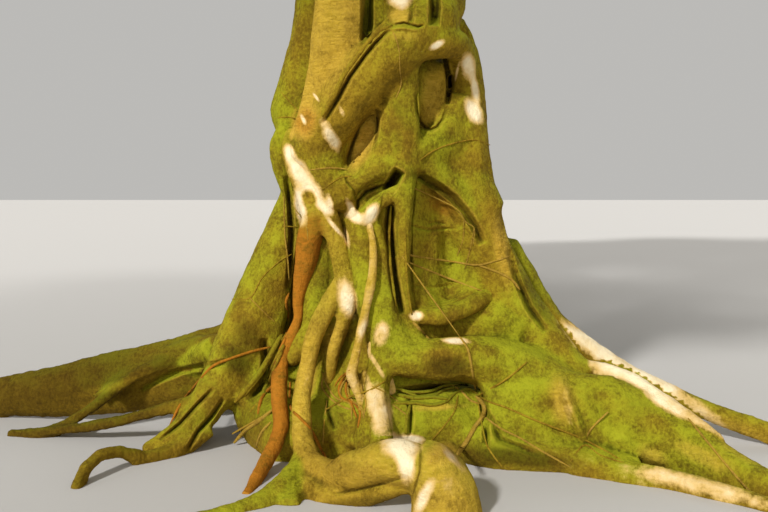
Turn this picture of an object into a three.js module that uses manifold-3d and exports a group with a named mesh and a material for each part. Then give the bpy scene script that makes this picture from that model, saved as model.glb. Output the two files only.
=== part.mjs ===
// A banyan: a host column wrapped in fused aerial roots, which spread into buttress and surface roots at
// the ground, and fork at the top into boughs that each end in one mass of foliage.
// Millimetres, +Z up. The origin is on the trunk's axis, in the flat cut at ground level. Places on the
// trunk are given as an azimuth in degrees (0 faces -Y, 90 faces +X), a height and a reach from the axis.
import * as THREE from "three";
import { mergeVertices } from "three/addons/utils/BufferGeometryUtils.js";
import Module from "manifold-3d";

const wasm = await Module();
wasm.setup();

// Driving dimensions
const SEAT_GAP = 0.35; // clearance between pieces that touch
const FORK_HEIGHT = 5300; // where the trunk divides into boughs
const HOST_RADIUS = 385; // the host column well above its flare
const HOST_TAPER = 18; // how much its radius loses for each metre of height
const HOST_FLARE = 330; // what the flare adds at ground level
const FLARE_HEIGHT = 430; // height over which the flare fades
const HOST_DOME = 150; // how far the host column rounds up above the fork
const HOST_SIDES = 14;
const HOST_RINGS = 9;
const LEAN_X = -45; // sideways lean of the trunk for each metre of height above LEAN_FROM
const LEAN_FROM = 2400;
const TRUNK_DETAIL = 10; // how far the trunk's surface may stray where small facets are joined
const FOLIAGE_DETAIL = 20; // the same for a mass of foliage
const STRAND_SIDES = 8;
const STRAND_STEPS = 1.5; // segments for each stretch between two waypoints
const FUSED_SIDES = 7;
const FUSED_STEPS = 1;
const SLIM_SIDES = 6; // sides of a strand that is nowhere thicker than SLIM_RADIUS
const SLIM_RADIUS = 90;
const BACK_ROOTS = 4;
const SEED = 4117;

// The crown, as rings of masses: count, first azimuth, height of the masses' centres, their distance from
// the axis, and their half sizes outwards and upwards
const RINGS = [
  { name: "lower", count: 6, azimuth: 22, height: 7500, reach: 4850, wide: 2600, high: 1650 },
  { name: "middle", count: 5, azimuth: 50, height: 9650, reach: 3250, wide: 2300, high: 1600 },
  { name: "upper", count: 3, azimuth: 5, height: 11650, reach: 1400, wide: 2050, high: 1500 },
];
const RING_JITTER = 0.06; // how far a mass strays from its ring, as a share of the ring's sizes
const BOUGHS = {
  upper: { foot: FORK_HEIGHT - 20, footReach: 95, radius: 135 },
  middle: { foot: FORK_HEIGHT - 360, footReach: 140, radius: 150 },
  lower: { foot: FORK_HEIGHT - 900, footReach: 120, radius: 170 },
};
const BOUGH_END = 0.7; // share of the way out at which a bough hands over to its mass's stem
const BOUGH_TIP_RADIUS = 46;
const BOUGH_SIDES = 7;
const BOUGH_STEPS = 5;
const STEM_SIDES = 5;
const TWIGS = 9; // twigs that leave the stem of one mass
const TWIG_SIDES = 3;
const TWIG_RADIUS = 28;
const TWIG_END = 0.8; // share of the mass's space that a twig reaches
const SPRAY_PLACES = [0, 0.1, 0.2]; // where a twig carries sprays, as shares back from its tip
const SPRAY_LENGTH = 1250;
const SPRAY_WIDTH = 900;
const SPRAY_THICKNESS = 90;
const CORE_SHARE = 0.83; // size of a mass's dense core beside its whole space
const CORE_BUMPS = 0.09; // how far its surface swells and sinks
const CORE_LIMIT = 0.94; // the most of the mass's space that the core takes
const CELL_MARGIN = 60; // half the clear space between two masses

const BARK = { mossy: 0x7c7a2a, tan: 0x9a7a3a, pale: 0xb8a070, red: 0x9a4a1c, olive: 0x66702a };
const LEAF_GREEN = 0x3f6b22;

// A small seeded random number source, 0 to 1
function randomSource(seed) {
  let state = seed >>> 0;
  return () => {
    state = (state + 0x6d2b79f5) >>> 0;
    let mixed = Math.imul(state ^ (state >>> 15), state | 1);
    mixed ^= mixed + Math.imul(mixed ^ (mixed >>> 7), mixed | 61);
    return ((mixed ^ (mixed >>> 14)) >>> 0) / 4294967296;
  };
}

// Radius of the host column at a height
function hostRadius(height) {
  return HOST_RADIUS - (HOST_TAPER * height) / 1000 + HOST_FLARE * Math.exp(-height / FLARE_HEIGHT);
}

// The trunk's axis leans a little above the height of a person
function axisAt(height) {
  const above = Math.max(0, height - LEAN_FROM) / 1000;
  return new THREE.Vector3(LEAN_X * above, 0, height);
}

// The point at an azimuth, height and reach from the trunk's axis
function place(azimuth, height, reach) {
  const turn = THREE.MathUtils.degToRad(azimuth);
  const outward = new THREE.Vector3(Math.sin(turn), -Math.cos(turn), 0);
  return axisAt(height).addScaledVector(outward, reach);
}

// A closed tapering limb: a capped cylinder bent along a smooth curve through the waypoints.
// Each waypoint is { at: Vector3, radius, tall }, where tall stretches the section away from the ground or
// the trunk that carries it.
function limbGeometry(waypoints, sides, steps, grow = 0) {
  const curve = new THREE.CatmullRomCurve3(waypoints.map((w) => w.at), false, "centripetal");
  const sizes = new THREE.CatmullRomCurve3(
    waypoints.map((w) => new THREE.Vector3(w.radius, w.radius * (w.tall ?? 1), 0)),
    false,
    "centripetal",
  );
  const rings = waypoints.some((w) => w.tall) ? standingRings(curve, steps) : carriedRings(curve, steps);
  const geometry = new THREE.CylinderGeometry(1, 1, 1, sides, steps);
  const position = geometry.getAttribute("position");
  const vertex = new THREE.Vector3();
  for (let i = 0; i < position.count; i++) {
    vertex.fromBufferAttribute(position, i);
    const step = Math.round((0.5 - vertex.y) * steps);
    const { tangent, side, face } = rings[step];
    const size = sizes.getPoint(step / steps);
    const end = step === 0 ? -grow : step === steps ? grow : 0;
    const point = curve.getPoint(step / steps);
    point.addScaledVector(side, vertex.x * (size.x + grow));
    point.addScaledVector(face, vertex.z * (size.y + grow));
    point.addScaledVector(tangent, end);
    position.setXYZ(i, point.x, point.y, point.z);
  }
  return geometry;
}

// The axes of each ring of a round limb, carried along the curve without twist
function carriedRings(curve, steps) {
  const rings = [];
  let before = curve.getTangent(0);
  const start = Math.abs(before.z) < 0.9 ? new THREE.Vector3(0, 0, 1) : new THREE.Vector3(1, 0, 0);
  const side = new THREE.Vector3().crossVectors(before, start).normalize();
  for (let step = 0; step <= steps; step++) {
    const tangent = curve.getTangent(step / steps);
    side.applyQuaternion(new THREE.Quaternion().setFromUnitVectors(before, tangent));
    const face = new THREE.Vector3().crossVectors(tangent, side);
    rings.push({ tangent, side: side.clone(), face });
    before = tangent;
  }
  return rings;
}

// The axes of each ring of a tall limb: side lies along the surface that carries it, and face points away
// from that surface, which is the trunk where the limb is steep and the ground where it is level
function standingRings(curve, steps) {
  return Array.from({ length: steps + 1 }, (_, step) => {
    const centre = curve.getPoint(step / steps);
    const tangent = curve.getTangent(step / steps);
    const steepness = Math.abs(tangent.z);
    const away = new THREE.Vector3(centre.x, centre.y, 0).setLength(steepness);
    away.z = 1.02 - steepness;
    const side = new THREE.Vector3().crossVectors(tangent, away).normalize();
    const face = new THREE.Vector3().crossVectors(tangent, side);
    return { tangent, side, face };
  });
}

// A manifold-3d solid from a closed three.js geometry
function solidOf(geometry) {
  const bare = geometry.clone();
  bare.deleteAttribute("normal");
  bare.deleteAttribute("uv");
  const merged = mergeVertices(bare, 1e-3);
  return new wasm.Manifold(
    new wasm.Mesh({
      numProp: 3,
      vertProperties: new Float32Array(merged.getAttribute("position").array),
      triVerts: new Uint32Array(merged.index.array),
    }),
  );
}

function joined(solids) {
  return solids.reduce((sum, solid) => sum.add(solid));
}

// The largest body of a solid, without the scraps that a cut leaves
function largestBody(solid) {
  return solid.decompose().reduce((best, body) => (body.volume() > best.volume() ? body : best));
}

const BELOW_GROUND = solidOf(new THREE.BoxGeometry(16000, 16000, 2000).translate(0, 0, -1000));

function boxesMeet(a, b) {
  const [boxA, boxB] = [a.boundingBox(), b.boundingBox()];
  return [0, 1, 2].every((k) => boxA.min[k] <= boxB.max[k] && boxB.min[k] <= boxA.max[k]);
}

// The solid without what lies below the ground or inside any of the grown neighbours
function carved(solid, neighbours) {
  let left = solid.subtract(BELOW_GROUND);
  for (const neighbour of neighbours) {
    if (boxesMeet(left, neighbour)) left = left.subtract(neighbour);
  }
  return largestBody(left);
}

// A three.js geometry from a solid
function geometryOf(solid) {
  const { vertProperties, numProp, triVerts } = solid.getMesh();
  const corners = new Float32Array((vertProperties.length / numProp) * 3);
  for (let i = 0; i < corners.length / 3; i++) {
    corners.set(vertProperties.subarray(i * numProp, i * numProp + 3), i * 3);
  }
  const geometry = new THREE.BufferGeometry();
  geometry.setAttribute("position", new THREE.BufferAttribute(corners, 3));
  geometry.setIndex(new THREE.BufferAttribute(new Uint32Array(triVerts), 1));
  geometry.computeVertexNormals();
  return geometry;
}

// The solid with every corner moved out along its normal, together with the solid itself
function grownSolid(solid, gap) {
  const geometry = geometryOf(solid);
  const position = geometry.getAttribute("position");
  const normal = geometry.getAttribute("normal");
  for (let i = 0; i < position.count; i++) {
    const corner = new THREE.Vector3().fromBufferAttribute(position, i);
    corner.addScaledVector(new THREE.Vector3().fromBufferAttribute(normal, i), gap);
    position.setXYZ(i, corner.x, corner.y, corner.z);
  }
  return solidOf(geometry).add(solid);
}

// A three.js mesh from a solid, with its own origin at the anchor
function pieceMesh(name, solid, anchor, colour, roughness = 0.9) {
  const geometry = geometryOf(solid);
  geometry.translate(-anchor.x, -anchor.y, -anchor.z);
  const material = new THREE.MeshStandardMaterial({ color: colour, roughness, metalness: 0 });
  const mesh = new THREE.Mesh(geometry, material);
  mesh.name = name;
  mesh.position.copy(anchor);
  return mesh;
}

// Waypoints from rows of [azimuth, height, reach, radius, tall]
function waypointsOf(rows) {
  return rows.map(([azimuth, height, reach, radius, tall]) => ({
    at: place(azimuth, height, reach),
    radius,
    tall,
  }));
}

function strandSolid(rows, sides, density, grow = 0) {
  const steps = Math.ceil(density * (rows.length - 1));
  return solidOf(limbGeometry(waypointsOf(rows), sides, steps, grow));
}

// The host column: a lathe of its flaring profile, bent to the trunk's lean
function hostSolid() {
  const profile = [new THREE.Vector2(0, 0)];
  for (let ring = 0; ring <= HOST_RINGS; ring++) {
    const height = FORK_HEIGHT * (ring / HOST_RINGS) ** 1.5;
    profile.push(new THREE.Vector2(hostRadius(height), height));
  }
  profile.push(new THREE.Vector2(HOST_RADIUS / 2, FORK_HEIGHT + HOST_DOME));
  profile.push(new THREE.Vector2(0, FORK_HEIGHT + HOST_DOME));
  const lathe = new THREE.LatheGeometry(profile, HOST_SIDES).rotateX(Math.PI / 2);
  const position = lathe.getAttribute("position");
  for (let i = 0; i < position.count; i++) {
    position.setX(i, position.getX(i) + axisAt(position.getZ(i)).x);
  }
  return solidOf(lathe);
}

// Aerial roots that have grown together with the host column, as [azimuth, height, reach, radius]
const FUSED_STRANDS = {
  oldStem: [
    [-76, 5150, 250, 125],
    [-72, 2900, 330, 140],
    [-84, 2350, 400, 145],
    [-90, 1920, 520, 165],
    [-86, 1600, 450, 130],
    [-84, 1150, 450, 120],
  ],
  collar: [
    [6, 5150, 250, 110],
    [10, 3300, 350, 95],
    [13, 2360, 400, 85],
  ],
  centreStrand: [
    [14, 2120, 410, 98],
    [13, 1800, 430, 102],
    [14, 1600, 440, 80],
    [15, 1450, 440, 58],
    [14, 1250, 440, 46],
    [14, 980, 450, 34],
    [16, 740, 475, 28],
  ],
  mossyStrand: [
    [-20, 1320, 440, 70],
    [-14, 1080, 450, 88],
    [-10, 870, 460, 90],
    [-3, 680, 480, 90],
    [6, 540, 500, 92],
  ],
  saddle: [
    [14, 1650, 420, 72],
    [34, 1700, 430, 76],
    [52, 1800, 440, 84],
    [70, 1960, 450, 92],
  ],
  upperBridge: [
    [16, 1650, 420, 66],
    [-4, 1590, 440, 68],
    [-22, 1510, 440, 64],
    [-40, 1470, 410, 60],
  ],
  lowerBridge: [
    [15, 1470, 420, 44],
    [-1, 1400, 440, 50],
    [-12, 1330, 450, 58],
    [-22, 1230, 440, 64],
  ],
  bridgeRoot: [
    [19, 765, 480, 33],
    [38, 790, 470, 38],
    [55, 815, 500, 44],
    [66, 880, 560, 52],
  ],
  lowMass: [
    [-30, 140, 480, 200],
    [5, 170, 470, 210],
    [38, 180, 530, 210],
    [68, 170, 640, 190],
  ],
  leftMound: [
    [-96, 260, 560, 190],
    [-76, 150, 740, 180],
    [-52, 130, 690, 190],
    [-30, 140, 560, 180],
  ],
};

// Recesses between the strands of the front, as ellipsoids cut out of the trunk
const HOLLOWS = [
  { azimuth: 2, height: 1130, reach: 470, wide: 62, deep: 150, high: 330 },
  { azimuth: -9, height: 1770, reach: 430, wide: 85, deep: 110, high: 190 },
  { azimuth: 38, height: 2060, reach: 430, wide: 85, deep: 100, high: 200 },
];

// Aerial roots and surface roots that stand free enough to be pieces of their own. A fifth number makes the
// section that many times as tall as it is wide.
const STRANDS = [
  {
    name: "diagonal_strand",
    colour: BARK.mossy,
    rows: [
      [70, 5150, 260, 125],
      [70, 3600, 330, 130],
      [67, 2860, 370, 130],
      [59, 2530, 410, 132],
      [36, 2390, 440, 152],
      [10, 2230, 455, 162],
      [-15, 2040, 460, 150],
      [-39, 1820, 465, 138],
      [-62, 1640, 500, 118],
    ],
  },
  {
    name: "right_strand",
    colour: BARK.mossy,
    rows: [
      [72, 2420, 420, 60],
      [80, 2290, 475, 66],
      [81, 2080, 500, 92],
      [76, 1860, 480, 135],
      [73, 1620, 470, 172],
      [74, 1370, 510, 180],
      [77, 1100, 610, 160],
      [78, 840, 760, 145],
      [75, 600, 960, 130],
      [72, 400, 1150, 110],
    ],
  },
  {
    name: "right_plank",
    colour: BARK.mossy,
    rows: [
      [48, 235, 740, 150, 1.4],
      [58, 255, 1010, 150, 1.65],
      [65, 240, 1320, 150, 1.65],
      [66, 135, 1650, 122, 1.4],
      [63, 70, 1940, 98, 1.2],
      [60, 20, 2240, 76, 1.0],
      [58, -10, 2800, 44, 1.0],
    ],
  },
  {
    name: "forked_strand",
    colour: BARK.pale,
    rows: [
      [-66, 1600, 540, 98],
      [-64, 1480, 510, 92],
      [-53, 1330, 485, 90],
      [-41, 1190, 480, 72],
      [-30, 1060, 490, 66],
      [-23, 930, 500, 66],
      [-24, 810, 505, 58],
    ],
  },
  {
    name: "tan_strand",
    colour: BARK.tan,
    rows: [
      [-40, 5150, 250, 115],
      [-36, 3600, 330, 125],
      [-28, 2560, 385, 128],
      [-36, 2150, 420, 104],
      [-54, 1880, 450, 88],
      [-72, 1680, 480, 72],
    ],
  },
  {
    name: "front_strand",
    colour: BARK.pale,
    rows: [
      [2, 900, 500, 52],
      [0, 690, 550, 66],
      [-3, 480, 590, 74],
      [-5, 250, 650, 82],
      [-6, 60, 740, 84],
      [-7, -20, 840, 50],
    ],
  },
  {
    name: "cross_root",
    colour: BARK.mossy,
    rows: [
      [2, 570, 560, 92],
      [20, 560, 590, 112],
      [38, 550, 640, 128],
      [54, 520, 740, 150],
      [63, 440, 900, 165],
      [68, 340, 1080, 160],
    ],
  },
  {
    name: "loop_root",
    colour: BARK.tan,
    rows: [
      [-25, 800, 510, 56],
      [-37, 700, 540, 60],
      [-41, 590, 590, 62],
      [-40, 450, 670, 62],
      [-34, 310, 790, 62],
      [-28, 160, 890, 64],
      [-24, 40, 960, 72],
    ],
  },
  {
    name: "knee_root",
    colour: BARK.pale,
    rows: [
      [-30, 20, 940, 66],
      [-20, 70, 1010, 82],
      [-8, 140, 1110, 104],
      [3, 205, 1180, 120],
      [12, 205, 1230, 130],
      [17, 90, 1265, 128],
      [18.5, -60, 1290, 112],
    ],
  },
  {
    name: "red_root",
    colour: BARK.red,
    rows: [
      [-58, 1300, 510, 66],
      [-60, 1180, 540, 80],
      [-62, 1040, 570, 70],
      [-62, 880, 580, 45],
      [-60, 770, 600, 32],
      [-57, 640, 640, 36],
      [-55, 510, 700, 52],
      [-50, 380, 750, 57],
      [-45, 240, 800, 54],
      [-42, 120, 890, 52],
      [-38, 10, 1040, 44],
    ],
  },
  {
    name: "thin_strand",
    colour: BARK.red,
    rows: [
      [-12, 1300, 480, 24],
      [-6, 1120, 530, 20],
      [-5, 980, 560, 20],
      [-9, 850, 575, 22],
      [-14, 690, 590, 24],
      [-18, 500, 620, 28],
      [-14, 330, 650, 24],
    ],
  },
  {
    name: "rear_right_root",
    colour: BARK.olive,
    rows: [
      [102, 1750, 430, 120],
      [100, 1450, 490, 140],
      [98, 1150, 610, 140],
      [95, 850, 810, 122],
      [92, 600, 1060, 100],
      [89, 380, 1400, 82],
      [86, 190, 1830, 66],
      [82, 40, 2400, 44],
    ],
  },
  {
    name: "left_leg",
    colour: BARK.mossy,
    rows: [
      [-80, 1640, 450, 85],
      [-83, 1270, 560, 125],
      [-82, 950, 690, 150],
      [-80, 640, 820, 155],
      [-77, 350, 970, 130],
      [-74, 120, 1150, 92],
      [-72, 5, 1400, 48],
    ],
  },
  {
    name: "left_buttress",
    colour: BARK.mossy,
    rows: [
      [-112, 1150, 450, 130],
      [-106, 800, 630, 140, 1.1],
      [-100, 460, 950, 115, 1.7],
      [-97, 290, 1500, 92, 2.4],
      [-97, 190, 2050, 88, 2.0],
      [-97, 120, 2600, 76, 1.6],
      [-99, 40, 3250, 46],
    ],
  },
  {
    name: "left_branch_root",
    colour: BARK.olive,
    rows: [
      [-95, 430, 1250, 48],
      [-92, 370, 1450, 46],
      [-90, 270, 1620, 44],
      [-88, 120, 1800, 40],
      [-87, 10, 2050, 30],
    ],
  },
  {
    name: "left_low_root",
    colour: BARK.olive,
    rows: [
      [-72, 300, 950, 46],
      [-78, 225, 1250, 42],
      [-82, 130, 1530, 40],
      [-85, 60, 1850, 36],
      [-88, 10, 2250, 26],
    ],
  },
  {
    name: "arch_root",
    colour: BARK.olive,
    rows: [
      [-71, 110, 1040, 50],
      [-67, 15, 1340, 36],
      [-65, 88, 1540, 34],
      [-62, 92, 1690, 34],
      [-58, 0, 1800, 32],
    ],
  },
  {
    name: "front_left_root",
    colour: BARK.olive,
    rows: [
      [-36, 130, 820, 70],
      [-33, 70, 1080, 66],
      [-35, 45, 1400, 56],
      [-40, 20, 1850, 40],
      [-41, 0, 2200, 24],
    ],
  },
  {
    name: "front_right_root",
    colour: BARK.pale,
    rows: [
      [50, 110, 1000, 70],
      [55, 50, 1350, 66],
      [57, 35, 1800, 56],
      [54, 10, 2450, 36],
    ],
  },
];

// A root at the back: it comes down the column with a slight twist and runs out along the ground
function backRootRows(index) {
  const random = randomSource(SEED + 900 + index);
  const azimuth = 128 + (106 * index) / (BACK_ROOTS - 1) + 10 * (random() - 0.5);
  const twist = 18 * (random() - 0.5);
  const reach = 1800 + 1100 * random();
  const radius = 110 + 45 * random();
  return [
    [azimuth + 2 * twist, 5150, 250, radius * 0.8],
    [azimuth - twist, 2900, 345, radius * 0.95],
    [azimuth, 1250, 430, radius * 1.2],
    [azimuth, 560, 640, radius * 1.15],
    [azimuth + twist, 200, 1050, radius * 0.9, 1.4],
    [azimuth + 2 * twist, 80, 0.72 * reach, radius * 0.65],
    [azimuth + 3 * twist, 10, reach, 36],
  ];
}

// Every mass of foliage: its ring, its place and its label
function massPlaces() {
  const random = randomSource(SEED);
  const stray = () => 2 * RING_JITTER * (random() - 0.5);
  const places = [];
  for (const ring of RINGS) {
    for (let i = 0; i < ring.count; i++) {
      const azimuth = ring.azimuth + (360 / ring.count) * (i + stray());
      const height = ring.height + 2 * ring.high * stray();
      const reach = ring.reach * (1 + stray());
      const centre = place(azimuth, height, reach);
      places.push({ ring, azimuth, centre, reach, label: `${ring.name}_${i + 1}` });
    }
  }
  return places;
}

// A bough from its foot to the edge of its mass's core: it leaves steeply and bends outwards. The boughs of
// the lower ring leave the sides of the trunk, and those of the rings above rise from its top.
function boughWaypoints({ ring, azimuth, centre, reach }, index) {
  const { foot, footReach, radius } = BOUGHS[ring.name];
  const start = foot + 130 * (index % 3);
  const share = (along, rise) => ({
    at: place(azimuth, start + (centre.z - start) * rise, footReach + (reach - footReach) * along),
    radius: radius + (BOUGH_TIP_RADIUS - radius) * along ** 0.8,
  });
  return [share(0, 0), share(0.12, 0.25), share(0.4, 0.58), share(BOUGH_END, 0.85)];
}

// How deep a point lies in the mass's own space: under 1 inside its ellipsoid and clear of the planes halfway
// to its neighbours
function depthInSpace(point, mass, masses) {
  const offset = point.clone().sub(mass.centre);
  const { wide, high } = mass.ring;
  let depth = Math.hypot(offset.x / wide, offset.y / wide, offset.z / high);
  for (const other of masses) {
    if (other === mass) continue;
    const between = other.centre.clone().sub(mass.centre);
    const limit = between.length() / 2 - CELL_MARGIN;
    depth = Math.max(depth, offset.dot(between.normalize()) / limit);
  }
  return depth;
}

// Directions spread evenly over a ball, with a seeded stray
function spreadDirections(count, random) {
  const golden = Math.PI * (3 - Math.sqrt(5));
  const first = random() * 2 * Math.PI;
  return Array.from({ length: count }, (_, i) => {
    const rise = 1 - (2 * (i + 0.5)) / count;
    const round = Math.sqrt(1 - rise * rise);
    const turn = first + golden * i + 0.5 * (random() - 0.5);
    return new THREE.Vector3(round * Math.cos(turn), round * Math.sin(turn), rise);
  });
}

// One spray of leaves as a flat eight-faced blade, with its foot a little inside the point given and its
// flat side towards a direction
function sprayGeometry(foot, direction, faceTowards, length) {
  const y = direction.clone().normalize();
  const x = new THREE.Vector3().crossVectors(y, faceTowards).normalize();
  const z = new THREE.Vector3().crossVectors(x, y);
  const width = (SPRAY_WIDTH * length) / SPRAY_LENGTH;
  return new THREE.OctahedronGeometry(1)
    .scale(width / 2, length / 2, SPRAY_THICKNESS / 2)
    .translate(0, length * 0.4, 0)
    .applyMatrix4(new THREE.Matrix4().makeBasis(x, y, z).setPosition(foot));
}

// The sprays of one twig: one carries on from its tip, and the others lean out to its sides. A spray that
// would leave the mass's own space is made shorter, and in the end left out.
function twigSprays(foot, tip, mass, masses, random) {
  const along = tip.clone().sub(foot).normalize();
  const outward = tip.clone().sub(mass.centre).normalize();
  const first = random() * 2 * Math.PI;
  const sprays = [];
  SPRAY_PLACES.forEach((back, i) => {
    const at = tip.clone().lerp(foot, back);
    const lean = i === 0 ? 0.2 : 0.75 + 0.4 * random();
    const turn = new THREE.Quaternion().setFromAxisAngle(along, first + 2.6 * i + random());
    const sideways = new THREE.Vector3().crossVectors(along, new THREE.Vector3(0, 0, 1)).normalize();
    const direction = along.clone().multiplyScalar(Math.cos(lean));
    direction.addScaledVector(sideways.applyQuaternion(turn), Math.sin(lean));
    const faceTowards = i === 0 ? new THREE.Vector3(0, 0, 1) : outward;
    for (let length = SPRAY_LENGTH * (0.9 + 0.3 * random()); length > 0.5 * SPRAY_LENGTH; length *= 0.9) {
      const geometry = sprayGeometry(at, direction, faceTowards, length);
      const position = geometry.getAttribute("position");
      const corners = Array.from({ length: position.count }, (_, k) =>
        new THREE.Vector3().fromBufferAttribute(position, k),
      );
      if (corners.every((corner) => depthInSpace(corner, mass, masses) < 1)) {
        sprays.push(solidOf(geometry));
        break;
      }
    }
  });
  return sprays;
}

// A thin tapering twig or stem from one point to another
function twigSolid(from, to, radius, tipRadius, sides) {
  const waypoints = [
    { at: from, radius },
    { at: to, radius: tipRadius },
  ];
  return solidOf(limbGeometry(waypoints, sides, 1));
}

// The dense middle of a mass: a ball with seeded swellings, pressed in where it would leave the mass's space
function coreSolid(mass, masses, random) {
  const { centre, ring } = mass;
  const [a, b, c] = [6 * random(), 6 * random(), 6 * random()];
  const ball = new THREE.IcosahedronGeometry(1, 1);
  const position = ball.getAttribute("position");
  const vertex = new THREE.Vector3();
  for (let i = 0; i < position.count; i++) {
    vertex.fromBufferAttribute(position, i);
    const swell = Math.sin(2.7 * vertex.x + a) + Math.sin(3.1 * vertex.y + b) + Math.sin(2.4 * vertex.z + c);
    const size = CORE_SHARE + (CORE_BUMPS * swell) / 2;
    vertex.set(vertex.x * ring.wide * size, vertex.y * ring.wide * size, vertex.z * ring.high * size);
    const depth = depthInSpace(vertex.clone().add(centre), mass, masses);
    vertex.multiplyScalar(Math.min(1, CORE_LIMIT / depth)).add(centre);
    position.setXYZ(i, vertex.x, vertex.y, vertex.z);
  }
  return solidOf(ball);
}

// One mass of foliage: a stem that carries on from the bough's tip, a dense core round its end, twigs that
// leave the stem, and sprays on the twigs
function massSolid(mass, masses, boughTip, index) {
  const random = randomSource(SEED + 31 * (index + 1));
  const { centre, ring } = mass;
  const stemFoot = boughTip.at.clone().addScaledVector(boughTip.tangent, SEAT_GAP);
  const stem = twigSolid(stemFoot, centre, BOUGH_TIP_RADIUS, TWIG_RADIUS, STEM_SIDES);
  const parts = [stem, coreSolid(mass, masses, random)];
  for (const direction of spreadDirections(TWIGS, random)) {
    const reachOut = new THREE.Vector3(direction.x * ring.wide, direction.y * ring.wide, direction.z * ring.high);
    const twigFoot = stemFoot.clone().lerp(centre, 0.6 + 0.4 * random());
    const depth = depthInSpace(centre.clone().add(reachOut), mass, masses);
    const twigTip = centre.clone().addScaledVector(reachOut, TWIG_END / depth);
    parts.push(twigSolid(twigFoot, twigTip, TWIG_RADIUS, TWIG_RADIUS / 2, TWIG_SIDES));
    parts.push(...twigSprays(twigFoot, twigTip, mass, masses, random));
  }
  return joined(parts).simplify(FOLIAGE_DETAIL);
}

// A recess as an ellipsoid that reaches into the trunk at an azimuth
function hollowSolid({ azimuth, height, reach, wide, deep, high }) {
  const centre = place(azimuth, height, reach);
  const ball = new THREE.IcosahedronGeometry(1, 1).scale(wide, deep, high);
  ball.rotateZ(THREE.MathUtils.degToRad(azimuth)).translate(centre.x, centre.y, centre.z);
  return solidOf(ball);
}

// The host column and the strands that have grown together with it
function trunkSolid() {
  const fused = Object.values(FUSED_STRANDS).map((rows) => strandSolid(rows, FUSED_SIDES, FUSED_STEPS));
  return joined([hostSolid(), ...fused]).simplify(TRUNK_DETAIL);
}

// The trunk and its roots
function trunkAndRoots() {
  const group = new THREE.Group();
  const trunk = carved(trunkSolid(), HOLLOWS.map(hollowSolid));
  group.add(pieceMesh("trunk", trunk, new THREE.Vector3(), BARK.mossy));
  const grown = [grownSolid(trunk, SEAT_GAP)];
  const backRoots = Array.from({ length: BACK_ROOTS }, (_, i) => ({
    name: `rear_root_${i + 1}`,
    colour: BARK.mossy,
    rows: backRootRows(i),
  }));
  for (const { name, colour, rows } of [...STRANDS, ...backRoots]) {
    const sides = rows.every((row) => row[3] <= SLIM_RADIUS) ? SLIM_SIDES : STRAND_SIDES;
    const solid = carved(strandSolid(rows, sides, STRAND_STEPS), grown);
    group.add(pieceMesh(name, solid, place(...rows[0]), colour));
    grown.push(strandSolid(rows, sides, STRAND_STEPS, SEAT_GAP));
  }
  return { group, grown };
}

// The boughs and their masses of foliage
function crown(trunkGrown) {
  const group = new THREE.Group();
  const masses = massPlaces();
  const grown = [...trunkGrown];
  const tips = [];
  masses.forEach((mass, index) => {
    const waypoints = boughWaypoints(mass, index);
    const shape = (grow) => solidOf(limbGeometry(waypoints, BOUGH_SIDES, BOUGH_STEPS, grow));
    const solid = carved(shape(0), grown);
    group.add(pieceMesh(`bough_${mass.label}`, solid, waypoints[0].at, BARK.tan));
    grown.push(shape(SEAT_GAP));
    const curve = new THREE.CatmullRomCurve3(waypoints.map((w) => w.at), false, "centripetal");
    tips.push({ at: waypoints.at(-1).at, tangent: curve.getTangent(1) });
  });
  masses.forEach((mass, index) => {
    const solid = carved(massSolid(mass, masses, tips[index], index), grown);
    group.add(pieceMesh(`foliage_${mass.label}`, solid, mass.centre, LEAF_GREEN, 0.6));
  });
  return group;
}

const banyan = new THREE.Group();
const base = trunkAndRoots();
banyan.add(base.group, crown(base.grown));

export default banyan;
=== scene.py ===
"""The looks of a banyan, built round its packed solids.

Everything is in metres in the row's own frame: the origin is on the trunk's axis at ground level, +Z is up,
and -Y is the side that the reference view shows.
"""

from __future__ import annotations

import logging
import math
from dataclasses import dataclass
from enum import Enum
from typing import Any, Callable, Sequence

import bpy
import numpy as np
from mathutils import Euler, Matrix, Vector
from mathutils.bvhtree import BVHTree

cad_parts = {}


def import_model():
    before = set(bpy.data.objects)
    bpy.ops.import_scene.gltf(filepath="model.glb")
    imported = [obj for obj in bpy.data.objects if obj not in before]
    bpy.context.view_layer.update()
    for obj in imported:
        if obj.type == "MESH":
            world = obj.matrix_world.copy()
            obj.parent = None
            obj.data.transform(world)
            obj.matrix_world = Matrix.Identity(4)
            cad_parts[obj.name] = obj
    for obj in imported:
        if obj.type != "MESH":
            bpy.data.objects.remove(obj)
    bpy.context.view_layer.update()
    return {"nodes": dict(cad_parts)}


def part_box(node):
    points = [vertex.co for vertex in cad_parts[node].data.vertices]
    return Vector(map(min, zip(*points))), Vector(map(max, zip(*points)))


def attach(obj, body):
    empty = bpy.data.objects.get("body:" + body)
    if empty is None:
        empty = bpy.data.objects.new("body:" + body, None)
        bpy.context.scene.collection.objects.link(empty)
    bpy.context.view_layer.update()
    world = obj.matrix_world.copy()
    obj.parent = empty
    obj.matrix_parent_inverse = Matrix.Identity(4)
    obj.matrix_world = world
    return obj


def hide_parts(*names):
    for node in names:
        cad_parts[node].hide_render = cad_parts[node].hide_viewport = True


LOG = logging.getLogger("banyan")
BODY = "root"

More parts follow.
